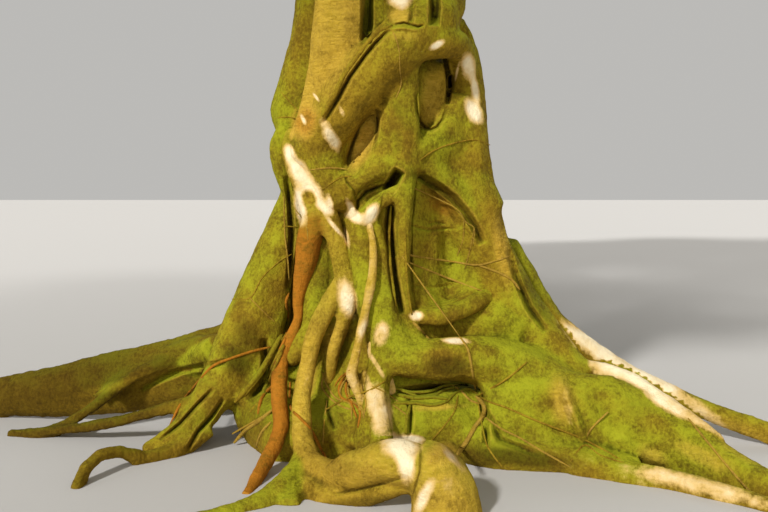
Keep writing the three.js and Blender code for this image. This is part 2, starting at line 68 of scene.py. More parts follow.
# The reference view
IMAGE_WIDTH = 768
IMAGE_HEIGHT = 512
FOCAL_PIXELS = 823.0
SENSOR_WIDTH = 36.0
CLIP_END = 400.0
CAMERA_PLACE = Vector((0.0, -4.9, 1.49))
CAMERA_PITCH = math.radians(-4.9)
VIEW_MARGIN = 20  # pixels outside the view that still count as shown
VIEW_GRAZE = 0.6  # how far, in metres, a surface may face away and still count as shown
VIEW_CELL = 4  # size in pixels of the cells that tell what is hidden
VIEW_BEHIND = 0.16  # how far behind the nearest surface of its cell a point still counts as shown
LEAST_DEPTH = 0.2  # metres in front of the camera from where pixels are told

# The trunk
FORK_HEIGHT = 5.3
LEAN_X = -0.045  # sideways lean for each metre of height above LEAN_FROM
LEAN_FROM = 2.4
FOOT_TOP = 2.9  # height at which the finely modelled foot hands over to the upper trunk
OVERLAP = 0.45  # how far both are modelled past that height before they are cut
CARRIED_ON = 0.15  # a root that ends less than this above that height stops there
BELOW_GROUND = 0.06  # how far the wood is drawn down before it is cut flat at the ground
AT_GROUND = 0.001  # what lies lower than this counts as lying in the cut at the ground
ABOVE_GROUND = 0.012  # least height of the middle of a small root

# The crown, by the same rule as the solids
SEED = 4117
SEED_STEP = 31  # from one mass's seed to the next
RING_JITTER = 0.06  # how far the masses' places stray, as a share
CELL_MARGIN = 0.06  # how far a mass keeps from the plane half way to its neighbour
DIRECTION_JITTER = 0.5
BOUGH_END = 0.7  # where a bough ends, as a share of the way out to its mass
BOUGH_TIP_RADIUS = 0.046
BOUGH_TAPER = 0.8
BOUGH_PATH = ((0.0, 0.0), (0.12, 0.25), (0.4, 0.58), (BOUGH_END, 0.85))  # shares of its way out and up
BOUGH_RINGS = 26
FOOT_RISE = 0.13  # how much higher the second and third bough of each three start

# How meshes are worked
MERGE_WITHIN = 1e-5
CUT_WITHIN = 1e-6
WEIGHT_STEPS = 20
KNOT_LEAST = 1e-4  # least distance between two knots of a curve
END_BULGE = 0.4  # how far a tube's ends bulge, as a share of its radius
STEEP = 0.8  # from this rise on, a tube's first side is found from a sideways hint
SIDE_HINTS = ((0.3, 0.2, 0.9), (0.9, 0.2, 0.3))
# The bark darkens the creases that these measure, as painted shade
CREASES = (("hollow", 8, 0.006), ("wide_hollow", 60, 0.022))  # rounds of smoothing and full depth
SPOT_REACH = 1.5  # where a patch has faded out, as a share of its half sizes
TINT_ROUNDS = 8  # rounds of smoothing over the borders between tints

Item = bpy.types.Object
Points = np.ndarray
Colour = tuple[float, float, float, float]
Pixel = tuple[float, float]
Row = tuple[float, float, float, float]


class Slot(Enum):
    """Material slots of the record; the pieces here are handed one, but nothing here gives it to them."""

    MOSSY = "bark_mossy"
    TAN = "bark_tan"
    FOLIAGE = "foliage"


class SeededRandom:
    """The same small random number source as the solids use, 0 to 1."""

    WORD = 0xFFFFFFFF
    STRIDE = 0x6D2B79F5

    def __init__(self, seed: int) -> None:
        """Start the source with any whole number."""
        self.state = seed & self.WORD

    def __call__(self) -> float:
        """Return the next number from 0 to 1."""
        self.state = (self.state + self.STRIDE) & self.WORD
        mixed = ((self.state ^ (self.state >> 15)) * (self.state | 1)) & self.WORD
        mixed ^= (mixed + (mixed ^ (mixed >> 7)) * (mixed | 61)) & self.WORD
        return ((mixed ^ (mixed >> 14)) & self.WORD) / (self.WORD + 1)


def axis_at(height: float) -> Vector:
    """Return the point of the trunk's axis at a height."""
    return Vector((LEAN_X * max(0.0, height - LEAN_FROM), 0.0, height))


def place(azimuth: float, height: float, reach: float) -> Vector:
    """Return the point at an azimuth (0 at -Y, 90 at +X), a height and a reach from the axis."""
    turn = math.radians(azimuth)
    return axis_at(height) + Vector((math.sin(turn), -math.cos(turn), 0.0)) * reach


def curve_point(corners: Sequence[Vector], share: float) -> Vector:
    """Find a point between the middle two of four corners of a centripetal curve.

    Args:
        corners: Four points.
        share: 0 at the second corner and 1 at the third.

    Returns:
        The point.
    """
    knots = [0.0]
    for first, second in zip(corners, corners[1:]):
        knots.append(knots[-1] + max((second - first).length ** 0.5, KNOT_LEAST))
    at = knots[1] + share * (knots[2] - knots[1])

    def between(first: Vector, second: Vector, low: int, high: int) -> Vector:
        """Return the point at the wanted knot on a line from one knot to another."""
        return first.lerp(second, (at - knots[low]) / (knots[high] - knots[low]))

    start, middle, end = (between(corners[k], corners[k + 1], k, k + 1) for k in range(3))
    return between(between(start, middle, 0, 2), between(middle, end, 1, 3), 1, 2)


def smooth_path(waypoints: Sequence[Vector], count: int) -> list[Vector]:
    """Draw a smooth curve through waypoints.

    Args:
        waypoints: At least two points.
        count: How many points to return.

    Returns:
        Points along the curve.
    """
    chain = [waypoints[0] * 2 - waypoints[1], *waypoints, waypoints[-1] * 2 - waypoints[-2]]
    pieces = len(waypoints) - 1
    path = []
    for step in range(count):
        along = step / (count - 1) * pieces
        piece = min(int(along), pieces - 1)
        path.append(curve_point(chain[piece : piece + 4], along - piece))
    return path


class ReferenceView:
    """The camera at the reference view, and what its pixels look at."""

    def __init__(self) -> None:
        """Set up the view's directions."""
        self.forward = Vector((0.0, math.cos(CAMERA_PITCH), math.sin(CAMERA_PITCH)))
        self.up = Vector((0.0, -math.sin(CAMERA_PITCH), math.cos(CAMERA_PITCH)))

    def make_camera(self) -> None:
        """Add the camera and make it the scene's."""
        data = bpy.data.cameras.new("reference_camera")
        data.sensor_width = SENSOR_WIDTH
        data.lens = SENSOR_WIDTH * FOCAL_PIXELS / IMAGE_WIDTH
        data.clip_end = CLIP_END
        camera = bpy.data.objects.new("reference_camera", data)
        camera.location = CAMERA_PLACE
        camera.rotation_euler = Euler((math.pi / 2 + CAMERA_PITCH, 0.0, 0.0))
        bpy.context.scene.collection.objects.link(camera)
        bpy.context.scene.camera = camera

    def ray(self, pixel: Pixel) -> Vector:
        """Find the direction that a pixel looks in.

        Args:
            pixel: Column and row in the reference view.

        Returns:
            The direction.
        """
        across = (pixel[0] - IMAGE_WIDTH / 2) / FOCAL_PIXELS
        down = (pixel[1] - IMAGE_HEIGHT / 2) / FOCAL_PIXELS
        return (self.forward + Vector((across, 0.0, 0.0)) - self.up * down).normalized()

    def point(self, pixel: Pixel, depth: float) -> Vector:
        """Return the point that a pixel shows at a depth in metres."""
        ray = self.ray(pixel)
        return CAMERA_PLACE + ray * (depth / ray.dot(self.forward))

    def tube(self, rows: Sequence[Row], steps: int) -> tuple[list[Vector], list[float]]:
        """Place a limb that rows of the view describe.

        Args:
            rows: Column, row, depth in metres and radius in pixels.
            steps: How many points for each row.

        Returns:
            Its points, and its radius at each of them.
        """
        count = (len(rows) - 1) * steps + 1
        path = smooth_path([self.point(row[:2], row[2]) for row in rows], count)
        sizes = [row[2] * row[3] / FOCAL_PIXELS for row in rows]
        return path, list(np.interp(np.linspace(0, len(rows) - 1, count), range(len(rows)), sizes))

    def in_view(self, target: Item) -> Points:
        """Tell which vertices of an object the view shows, hidden ones left out.

        Args:
            target: The object.

        Returns:
            True or false for each vertex.
        """
        points = Bench.points(target)
        pixels = self.pixels(points)
        far_corner = (IMAGE_WIDTH, IMAGE_HEIGHT + VIEW_MARGIN)
        inside = np.all((pixels > -VIEW_MARGIN) & (pixels < far_corner), axis=1)
        away = points - np.array(CAMERA_PLACE)
        facing = np.sum(away * Bench.normals(target), axis=1) < VIEW_GRAZE
        depth = away @ np.array(self.forward)
        cells = np.floor(np.clip(pixels, 0, IMAGE_WIDTH) / VIEW_CELL).astype(int)
        cell = cells[:, 0] * (IMAGE_WIDTH // VIEW_CELL + 1) + cells[:, 1]
        nearest = np.full(cell.max() + 1, np.inf)
        np.minimum.at(nearest, cell[inside], depth[inside])
        return inside & facing & (depth < nearest[cell] + VIEW_BEHIND)

    def pixels(self, points: Points) -> Points:
        """Find the pixel that each point falls on.

        Args:
            points: Rows of x, y, z.

        Returns:
            Rows of column and row.
        """
        away = points - np.array(CAMERA_PLACE)
        depth = np.maximum(away @ np.array(self.forward), LEAST_DEPTH)
        column = IMAGE_WIDTH / 2 + FOCAL_PIXELS * away[:, 0] / depth
        row = IMAGE_HEIGHT / 2 - FOCAL_PIXELS * (away @ np.array(self.up)) / depth
        return np.stack([column, row], axis=1)


class Bench:
    """Plain work on mesh objects, each step with nothing else selected."""

    @staticmethod
    def only(*objects: Item) -> None:
        """Select these objects alone and make the first one active."""
        bpy.ops.object.select_all(action="DESELECT")
        for one in objects:
            one.select_set(True)
        bpy.context.view_layer.objects.active = objects[0]

    @staticmethod
    def from_arrays(name: str, vertices: Points, faces: Points) -> Item:
        """Make an object at the origin from arrays.

        Args:
            name: The object's name.
            vertices: Rows of x, y, z.
            faces: Rows of corner numbers, all of the same length.

        Returns:
            The object.
        """
        mesh = bpy.data.meshes.new(name)
        sides = faces.shape[1]
        mesh.vertices.add(len(vertices))
        mesh.vertices.foreach_set("co", vertices.astype(np.float32).ravel())
        mesh.loops.add(faces.size)
        mesh.loops.foreach_set("vertex_index", faces.astype(np.int32).ravel())
        mesh.polygons.add(len(faces))
        mesh.polygons.foreach_set("loop_start", np.arange(0, faces.size, sides, dtype=np.int32))
        mesh.update(calc_edges=True)
        made = bpy.data.objects.new(name, mesh)
        bpy.context.scene.collection.objects.link(made)
        return made

    @staticmethod
    def edit(target: Item, *steps: Callable[[], Any]) -> None:
        """Run steps in edit mode with everything selected.

        Args:
            target: The object to edit.
            steps: Calls that each run one operator.
        """
        Bench.only(target)
        bpy.ops.object.mode_set(mode="EDIT")
        bpy.ops.mesh.select_all(action="SELECT")
        for step in steps:
            step()
        bpy.ops.object.mode_set(mode="OBJECT")

    @staticmethod
    def refine(target: Item, wanted: Points) -> None:
        """Split the faces whose corners are all wanted into four.

        Args:
            target: The object.
            wanted: True or false for each vertex.
        """
        corners = Bench.read(target.data.loops, "vertex_index", kind=np.int32)
        starts = Bench.read(target.data.polygons, "loop_start", kind=np.int32)
        chosen = np.logical_and.reduceat(wanted[corners], starts)
        Bench.with_faces(target, chosen, lambda: bpy.ops.mesh.subdivide(number_cuts=1, smoothness=0.0))

    @staticmethod
    def with_faces(target: Item, chosen: Points, step: Callable[[], Any]) -> None:
        """Run one step in edit mode with chosen faces selected.

        Args:
            target: The object to edit.
            chosen: True or false for each face.
            step: A call that runs one operator.
        """
        Bench.only(target)
        bpy.context.tool_settings.mesh_select_mode = (False, False, True)
        bpy.ops.object.mode_set(mode="EDIT")
        bpy.ops.mesh.select_all(action="DESELECT")
        bpy.ops.object.mode_set(mode="OBJECT")
        target.data.polygons.foreach_set("select", chosen)
        bpy.ops.object.mode_set(mode="EDIT")
        step()
        bpy.ops.object.mode_set(mode="OBJECT")

    @staticmethod
    def copy_of(source: Item, name: str) -> Item:
        """Make a bare copy of an object, with doubled vertices merged.

        Args:
            source: The object.
            name: The copy's name.

        Returns:
            The copy.
        """
        made = bpy.data.objects.new(name, source.data.copy())
        made.data.materials.clear()
        bpy.context.scene.collection.objects.link(made)
        Bench.edit(made, lambda: bpy.ops.mesh.remove_doubles(threshold=MERGE_WITHIN))
        return made

    @staticmethod
    def cut(target: Item, point: Vector, normal: Vector) -> None:
        """Cut away what lies on the side of a plane that its normal points to, and close it."""
        settings = {"use_fill": True, "clear_outer": True, "threshold": CUT_WITHIN}
        Bench.edit(target, lambda: bpy.ops.mesh.bisect(plane_co=point, plane_no=normal, **settings))

    @staticmethod
    def join(objects: Sequence[Item], name: str) -> Item:
        """Join objects into the first one.

        Args:
            objects: The objects.
            name: What the joined one is called.

        Returns:
            The joined object.
        """
        Bench.only(*objects)
        if len(objects) > 1:
            bpy.ops.object.join()
        made = objects[0]
        made.name = name
        made.data.name = name
        return made

    @staticmethod
    def modify(target: Item, kind: str, **settings: Any) -> None:
        """Add a modifier, set it and apply it.

        Args:
            target: The object to change.
            kind: The modifier's type.
            settings: Its properties by name.
        """
        Bench.only(target)
        modifier = target.modifiers.new(kind.lower(), kind)
        for key, value in settings.items():
            setattr(modifier, key, value)
        bpy.ops.object.modifier_apply(modifier=modifier.name)

    @staticmethod
    def read(rows: Any, key: str, width: int = 1, kind: type = np.float32) -> Points:
        """Read a property of each row of a mesh.

        Args:
            rows: The mesh's vertices, edges, corners or faces.
            key: The property's name.
            width: How many numbers it has.
            kind: What they are.

        Returns:
            The numbers, in rows where there is more than one of them.
        """
        numbers = np.empty(len(rows) * width, kind)
        rows.foreach_get(key, numbers)
        return numbers.reshape(-1, width) if width > 1 else numbers

    @staticmethod
    def points(target: Item) -> Points:
        """Return an object's vertices as rows of x, y, z."""
        return Bench.read(target.data.vertices, "co", 3).astype(float)

    @staticmethod
    def move(target: Item, points: Points) -> None:
        """Put an object's vertices at new places."""
        target.data.vertices.foreach_set("co", points.astype(np.float32).ravel())
        target.data.update()

    @staticmethod
    def normals(target: Item) -> Points:
        """Return the normal at each vertex."""
        return Bench.read(target.data.vertex_normals, "vector", 3).astype(float)

    @staticmethod
    def edges(target: Item) -> Points:
        """Return an object's edges as rows of two vertex numbers."""
        return Bench.read(target.data.edges, "vertices", 2, np.int32)

    @staticmethod
    def group(target: Item, name: str, weights: Points) -> str:
        """Give an object a vertex group, with its weights in even steps.

        Args:
            target: The object.
            name: The group's name.
            weights: A number from 0 to 1 for each vertex.

        Returns:
            The group's name.
        """
        group = target.vertex_groups.new(name=name)
        steps = np.clip(np.round(weights * WEIGHT_STEPS), 0, WEIGHT_STEPS).astype(int)
        for step in range(1, WEIGHT_STEPS + 1):
            members = np.flatnonzero(steps == step)
            if len(members):
                group.add(members.tolist(), step / WEIGHT_STEPS, "REPLACE")
        return group.name

    @staticmethod
    def attribute(target: Item, name: str, values: Points) -> None:
        """Store a number for each vertex that a material can read."""
        layer = target.data.attributes.new(name, "FLOAT", "POINT")
        layer.data.foreach_set("value", values.astype(np.float32))

    @staticmethod
    def neighbours_mean(edges: Points, values: Points, times: int) -> Points:
        """Let each vertex take the mean of its neighbours, several times over.

        Args:
            edges: Rows of two vertex numbers.
            values: One row for each vertex.
            times: How often the mean is taken.

        Returns:
            The values after that.
        """
        count = len(values)
        ends = np.concatenate([edges[:, 0], edges[:, 1]])
        others = np.concatenate([edges[:, 1], edges[:, 0]])
        share = np.maximum(np.bincount(ends, minlength=count), 1)
        for _ in range(times):
            columns = [np.bincount(ends, values[others, k], count) / share for k in range(values.shape[1])]
            values = np.stack(columns, axis=1)
        return values


class Tubes:
    """Many tapering round tubes, gathered and then made into one mesh."""

    def __init__(self, sides: int) -> None:
        """Start with no tubes.

        Args:
            sides: Sides of each tube's section.
        """
        self.sides = sides
        self.vertices: list[Points] = []
        self.faces: list[Points] = []
        self.count = 0

    def add(self, path: Sequence[Vector], radii: Sequence[float]) -> None:
        """Add one closed tube.

        Args:
            path: Points along its middle.
            radii: Its radius at each of them.
        """
        line = np.array([tuple(point) for point in path])
        tangent = np.gradient(line, axis=0)
        tangent /= np.linalg.norm(tangent, axis=1)[:, None]
        side = np.cross(tangent[0], SIDE_HINTS[int(abs(tangent[0][2]) >= STEEP)])
        turn = np.arange(self.sides) * 2 * math.pi / self.sides
        rings = []
        for centre, along, radius in zip(line, tangent, radii):
            side = side - along * (side @ along)
            side /= np.linalg.norm(side)
            face = np.cross(along, side)
            rings.append(centre + radius * (np.outer(np.cos(turn), side) + np.outer(np.sin(turn), face)))
        first = line[0] - tangent[0] * radii[0] * END_BULGE
        last = line[-1] + tangent[-1] * radii[-1] * END_BULGE
        self.vertices.append(np.concatenate([*rings, [first, last]]))
        self.faces.append(self.tube_faces(len(line)) + self.count)
        self.count += len(line) * self.sides + 2

    def tube_faces(self, rings: int) -> Points:
        """Work out the triangles of one tube.

        Args:
            rings: How many rings it has.

        Returns:
            Rows of three corner numbers.
        """
        here = np.arange(self.sides)
        ahead = (here + 1) % self.sides
        faces = []
        for ring in range(rings - 1):
            low, high = ring * self.sides, (ring + 1) * self.sides
            faces.append(np.stack([low + here, low + ahead, high + ahead], axis=1))
            faces.append(np.stack([low + here, high + ahead, high + here], axis=1))
        first, last = rings * self.sides, rings * self.sides + 1
        top = (rings - 1) * self.sides
        faces.append(np.stack([ahead, here, np.full(self.sides, first)], axis=1))
        faces.append(np.stack([top + here, top + ahead, np.full(self.sides, last)], axis=1))
        return np.concatenate(faces)

    def make(self, name: str) -> Item:
        """Return all the tubes as one object."""
        return Bench.from_arrays(name, np.concatenate(self.vertices), np.concatenate(self.faces))


class Link:
    """A node's output that takes part in plain arithmetic."""

    def __init__(self, shader: Shader, socket: bpy.types.NodeSocket | None) -> None:
        """Wrap a socket of a shader's tree."""
        self.shader = shader
        self.socket = socket

    def maths(self, operation: str, *values: Value) -> Link:
        """Return the result of a Math node's operation on values."""
        return self.shader.node("ShaderNodeMath", {"operation": operation}, dict(enumerate(values)))

    def __add__(self, other: Value) -> Link:
        """Return the sum."""
        return self.maths("ADD", self, other)

    __radd__ = __add__

    def __sub__(self, other: Value) -> Link:
        """Return this less the other."""
        return self.maths("SUBTRACT", self, other)

    def __rsub__(self, other: Value) -> Link:
        """Return the other less this."""
        return self.maths("SUBTRACT", other, self)

    def __mul__(self, other: Value) -> Link:
        """Return the product."""
        return self.maths("MULTIPLY", self, other)

    __rmul__ = __mul__

    def step(self, low: float, high: float) -> Link:
        """Return a smooth step, 0 under low and 1 over high."""
        inputs = {"Value": self, "From Min": low, "From Max": high}
        return self.shader.node("ShaderNodeMapRange", {"interpolation_type": "SMOOTHSTEP"}, inputs)


Value = Link | float | Colour | tuple[float, float, float]


@dataclass(frozen=True)
class Pattern:
    """A noise pattern: features for each metre, octaves, the finer ones' strength, and its upright scale."""

    scale: float
    detail: float
    roughness: float
    upright: float = 1.0


BROAD = Pattern(2.2, 4.0, 0.5)
MOTTLE = Pattern(9.0, 6.0, 0.62)
SPECK = Pattern(48.0, 5.0, 0.7)
GRAIN = Pattern(150.0, 3.0, 0.6)
FIBRE = Pattern(75.0, 4.0, 0.65, 0.7)
BANDS = Pattern(22.0, 3.0, 0.55, 4.0)
VEINS = Pattern(30.0, 2.0, 0.55)


class Shader:
    """A material's node tree, written as expressions."""

    def __init__(self, name: str) -> None:
        """Start an empty material."""
        self.material = bpy.data.materials.new(name)
        self.material.use_nodes = True
        self.tree = self.material.node_tree
        self.tree.nodes.clear()

    @staticmethod
    def find(sockets: Any, key: int | str) -> bpy.types.NodeSocket:
        """Find a socket.

        Args:
            sockets: A node's inputs or outputs.
            key: Its number, its identifier or its name.

        Returns:
            The socket.
        """
        if isinstance(key, int):
            return sockets[key]
        return next((socket for socket in sockets if socket.identifier == key), None) or sockets[key]

    def node(
        self,
        kind: str,
        settings: dict[str, Any] | None = None,
        inputs: dict[int | str, Value] | None = None,
        output: int | str = 0,
    ) -> Link:
        """Add a node.

        Args:
            kind: The node's type.
            settings: Its properties by name.
            inputs: Numbers, colours or links for its sockets.
            output: The output to return.

        Returns:
            The chosen output.
        """
        made = self.tree.nodes.new(kind)
        for key, value in (settings or {}).items():
            setattr(made, key, value)
        for key, value in (inputs or {}).items():
            socket = self.find(made.inputs, key)
            if isinstance(value, Link):
                self.tree.links.new(value.socket, socket)
            else:
                socket.default_value = value
        return Link(self, self.find(made.outputs, output) if made.outputs else None)

    def mix(self, factor: Value, first: Value, second: Value, blend: str = "MIX") -> Link:
        """Mix two colours.

        Args:
            factor: 0 for the first and 1 for the second.
            first: A colour.
            second: Another colour.
            blend: How they are mixed.

        Returns:
            The mixed colour.
        """
        settings = {"data_type": "RGBA", "blend_type": blend, "clamp_factor": True}
        inputs = {"Factor_Float": factor, "A_Color": first, "B_Color": second}
        return self.node("ShaderNodeMix", settings, inputs, "Result_Color")

    def noise(self, pattern: Pattern) -> Link:
        """Add a noise pattern on the object's own coordinates.

        Args:
            pattern: Its scales and its detail.

        Returns:
            A number from 0 to 1.
        """
        where = self.node("ShaderNodeTexCoord", output="Object")
        if pattern.upright != 1.0:
            scale = (1.0, 1.0, pattern.upright)
            where = self.node("ShaderNodeMapping", inputs={"Vector": where, "Scale": scale})
        numbers = {"Scale": pattern.scale, "Detail": pattern.detail, "Roughness": pattern.roughness}
        return self.node("ShaderNodeTexNoise", inputs={"Vector": where, **numbers}, output="Fac")

    def attribute(self, name: str) -> Link:
        """Return a number stored on the mesh."""
        return self.node("ShaderNodeAttribute", {"attribute_name": name}, output="Fac")

    def rising(self) -> Link:
        """Return how far the surface faces up, from -1 to 1."""
        normal = self.node("ShaderNodeNewGeometry", output="Normal")
        return self.node("ShaderNodeSeparateXYZ", inputs={"Vector": normal}, output="Z")

    def bump(self, height: Link, strength: float, distance: float) -> Link:
        """Return a normal roughened by a pattern, over a distance in metres."""
        inputs = {"Height": height, "Strength": strength, "Distance": distance}
        return self.node("ShaderNodeBump", inputs=inputs, output="Normal")

    def surface(self, **inputs: Value) -> bpy.types.Material:
        """Finish the material with a principled surface.

        Args:
            inputs: Its sockets by name, with _ for a space.

        Returns:
            The material.
        """
        named = {key.replace("_", " "): value for key, value in inputs.items()}
        shade = self.node("ShaderNodeBsdfPrincipled", inputs=named)
        self.node("ShaderNodeOutputMaterial", inputs={"Surface": shade})
        return self.material


@dataclass(frozen=True)
class BarkFinish:
    """Bark under moss, with mottling, pale patches and fine relief.

    The mesh says where it is pale, tan, red or mossy, and where it is hollow, through its attributes.
    Its pale patches are partly pale bark and partly painted sunlight, and its creases are darkened as
    painted shade. It also says where painted shade darkens it (shade) and where the painted crease shade is
    left out (lit).
    """

    name: str
    bark: Colour = (0.36, 0.225, 0.015, 1.0)
    bark_dark: Colour = (0.15, 0.088, 0.006, 1.0)
    moss: Colour = (0.29, 0.265, 0.010, 1.0)
    moss_bright: Colour = (0.33, 0.335, 0.014, 1.0)
    moss_dark: Colour = (0.095, 0.088, 0.004, 1.0)
    # pale and pale_shade colour the pale patches from core to rim, partly pale bark and partly painted
    # sunlight
    pale: Colour = (0.95, 0.80, 0.52, 1.0)
    pale_shade: Colour = (0.66, 0.43, 0.13, 1.0)
    tan: Colour = (0.66, 0.42, 0.05, 1.0)
    red: Colour = (0.42, 0.155, 0.012, 1.0)
    # the colour that painted shade darkens the bark towards
    painted_shade_colour: Colour = (0.16, 0.13, 0.10, 1.0)
    mossiness: float = 0.0
    paleness: float = 0.0
    tanness: float = 0.0
    redness: float = 0.0
    gloss: float = 0.08
    bump_strength: float = 0.8
    bump_distance: float = 0.016

    def material(self) -> bpy.types.Material:
        """Build the material.

        Returns:
            The material.
        """
        shader = Shader(self.name)
        patterns = (BROAD, MOTTLE, SPECK, GRAIN, FIBRE, BANDS)
        broad, mottle, speck, grain, fibre, bands = (shader.noise(pattern) for pattern in patterns)
        rising = shader.rising()
        hollow, wide = (shader.attribute(name) for name, _, _ in CREASES)

        dots = speck * 0.5 + fibre * 0.5
        bark = shader.mix((mottle * 0.4 + dots * 0.6).step(0.36, 0.62), self.bark_dark, self.bark)
        greens = shader.mix((mottle * 0.35 + dots * 0.65).step(0.36, 0.60), self.moss_dark, self.moss)
        bright = (mottle * 0.5 + broad * 0.5 + dots * 0.45 + rising * 0.14).step(0.66, 1.02)
        greens = shader.mix(bright, greens, self.moss_bright)
        moss = shader.attribute("moss") + self.mossiness + (broad - 0.5) * 1.9 + (mottle - 0.5) * 0.9
        colour = shader.mix((moss + rising * 0.35 + (dots - 0.5) * 0.9).step(-0.1, 0.95), bark, greens)

        tan = shader.mix((bands * 0.3 + mottle * 0.4 + dots * 0.35).step(0.46, 0.66), self.tan, self.bark)
        tanness = shader.attribute("tan") + self.tanness + (mottle - 0.5) * 1.2 + (dots - 0.5) * 0.8
        tanness = tanness.step(0.1, 1.0)
        tan = shader.mix((grain * 0.6 + speck * 0.4).step(0.52, 0.66) * 0.35, tan, self.pale_shade)
        colour = shader.mix(tanness, colour, tan)
        darker = (bands * 0.25 + mottle * 0.4 + dots * 0.4).step(0.46, 0.72)
        red = shader.mix(darker, self.red, self.bark_dark)
        redness = shader.attribute("red") + self.redness + (mottle - 0.5) * 0.8
        colour = shader.mix(redness.step(0.1, 0.95), colour, red)
        # Pale patches: partly pale bark, partly painted patches of sunlight
        pale_and_sunlit = shader.attribute("pale") + self.paleness + (mottle - 0.5) * 1.2 + (dots - 0.5) * 0.5
        pale = shader.mix((pale_and_sunlit - dots * 0.4).step(0.30, 0.95), self.pale_shade, self.pale)
        paleness = pale_and_sunlit.step(0.28, 0.66)
        colour = shader.mix(paleness, colour, pale)

        # Painted shade in creases and recesses: darkened towards the dark moss, less on pale patches and not
        # where the mesh says lit
        unlit = (1.0 - paleness * 0.7) * (1.0 - shader.attribute("lit"))
        crease = (hollow.step(0.1, 0.9) * 0.5 + wide.step(0.15, 1.0) * 0.35) * unlit
        colour = shader.mix(crease, colour, self.moss_dark, "MULTIPLY")
        ridge = (hollow * -1.0).step(0.25, 1.0) * 0.2
        colour = shader.mix(ridge, colour, self.tan)
        # Painted shade: where the mesh says shade, the colour is darkened towards the painted shade colour
        shade = (shader.attribute("shade") + (mottle - 0.5) * 0.6).step(0.1, 1.0) * 0.8
        colour = shader.mix(shade, colour, self.painted_shade_colour, "MULTIPLY")
        height = speck * 0.6 + fibre * 0.4 + grain * 0.4 + bands * (0.2 + tanness * 0.5) + mottle * 0.5
        return shader.surface(
            Base_Color=colour,
            Roughness=0.9 - paleness * 0.12,
            Specular_IOR_Level=self.gloss,
            Normal=shader.bump(height, self.bump_strength, self.bump_distance),
        )


@dataclass(frozen=True)
class LeafFinish:
    """A leathery leaf of one plain green."""

    name: str
    colour: Colour

    def material(self) -> bpy.types.Material:
        """Return the material."""
        shader = Shader(self.name)
        vein = shader.noise(VEINS)
        return shader.surface(Base_Color=self.colour, Roughness=0.42 + vein * 0.14, Specular_IOR_Level=0.4)


# From dark to bright; sprays take the bright ones on top and the dark ones below, partly leaf tone and
# partly painted light and shade
LEAF_GREENS: tuple[Colour, ...] = (
    (0.018, 0.062, 0.006, 1.0),
    (0.028, 0.092, 0.007, 1.0),
    (0.045, 0.130, 0.010, 1.0),
    (0.075, 0.180, 0.014, 1.0),
    (0.130, 0.240, 0.022, 1.0),
)

# Shares of a leaf's length, width and lift at its foot, its sides and its tip, in order round it
LEAF_OUTLINE = (
    (0.0, 0.0, 0.0),
    (0.25, 0.42, 0.10),
    (0.68, 0.40, 0.06),
    (1.0, 0.0, -0.1),
    (0.68, -0.40, 0.06),
    (0.25, -0.42, 0.10),
)


@dataclass(frozen=True)
class FloorFinish:
    """A plain pale floor."""

    name: str = "pale_floor"
    colour: Colour = (0.52, 0.50, 0.47, 1.0)

    def material(self) -> bpy.types.Material:
        """Return the material."""
        shader = Shader(self.name)
        return shader.surface(Base_Color=self.colour, Roughness=0.9)


@dataclass(frozen=True)
class Ring:
    """One ring of masses of foliage round the axis, and the feet of their boughs."""

    name: str
    count: int
    azimuth: float
    height: float
    reach: float
    wide: float
    high: float
    foot: float
    foot_reach: float
    foot_radius: float


RINGS = (
    Ring("lower", 6, 22, 7.5, 4.85, 2.6, 1.65, FORK_HEIGHT - 0.9, 0.12, 0.17),
    Ring("middle", 5, 50, 9.65, 3.25, 2.3, 1.6, FORK_HEIGHT - 0.36, 0.14, 0.15),
    Ring("upper", 3, 5, 11.65, 1.4, 2.05, 1.5, FORK_HEIGHT - 0.02, 0.095, 0.135),
)


@dataclass(frozen=True)
class Mass:
    """One mass of foliage: its place and its ring."""

    index: int
    ring: Ring
    azimuth: float
    reach: float
    centre: Vector
    label: str

    def bough_points(self) -> list[Vector]:
        """Work out the bough that carries the mass, by the solids' rule.

        Returns:
            Its waypoints.
        """
        start = self.ring.foot + FOOT_RISE * (self.index % 3)
        points = []
        for along, rise in BOUGH_PATH:
            height = start + (self.centre.z - start) * rise
            reach = self.ring.foot_reach + (self.reach - self.ring.foot_reach) * along
            points.append(place(self.azimuth, height, reach))
        return points

    def bough_radius(self, share: float) -> float:
        """Return the bough's radius at a share of its length."""
        along = BOUGH_END * share
        return self.ring.foot_radius + (BOUGH_TIP_RADIUS - self.ring.foot_radius) * along**BOUGH_TAPER

    def bough_line(self) -> tuple[list[Vector], list[float]]:
        """Return points along the bough, and its radius at each of them."""
        radii = [self.bough_radius(k / (BOUGH_RINGS - 1)) for k in range(BOUGH_RINGS)]
        return smooth_path(self.bough_points(), BOUGH_RINGS), radii


def mass_places() -> list[Mass]:
    """Place every mass of foliage, by the solids' rule.

    Returns:
        The masses, ring by ring.
    """
    random = SeededRandom(SEED)

    def stray() -> float:
        """Return how far the next size strays."""
        return 2 * RING_JITTER * (random() - 0.5)

    masses: list[Mass] = []
    for ring in RINGS:
        for i in range(ring.count):
            azimuth = ring.azimuth + 360 / ring.count * (i + stray())
            height = ring.height + 2 * ring.high * stray()
            reach = ring.reach * (1 + stray())
            centre = place(azimuth, height, reach)
            masses.append(Mass(len(masses), ring, azimuth, reach, centre, f"{ring.name}_{i + 1}"))
    return masses


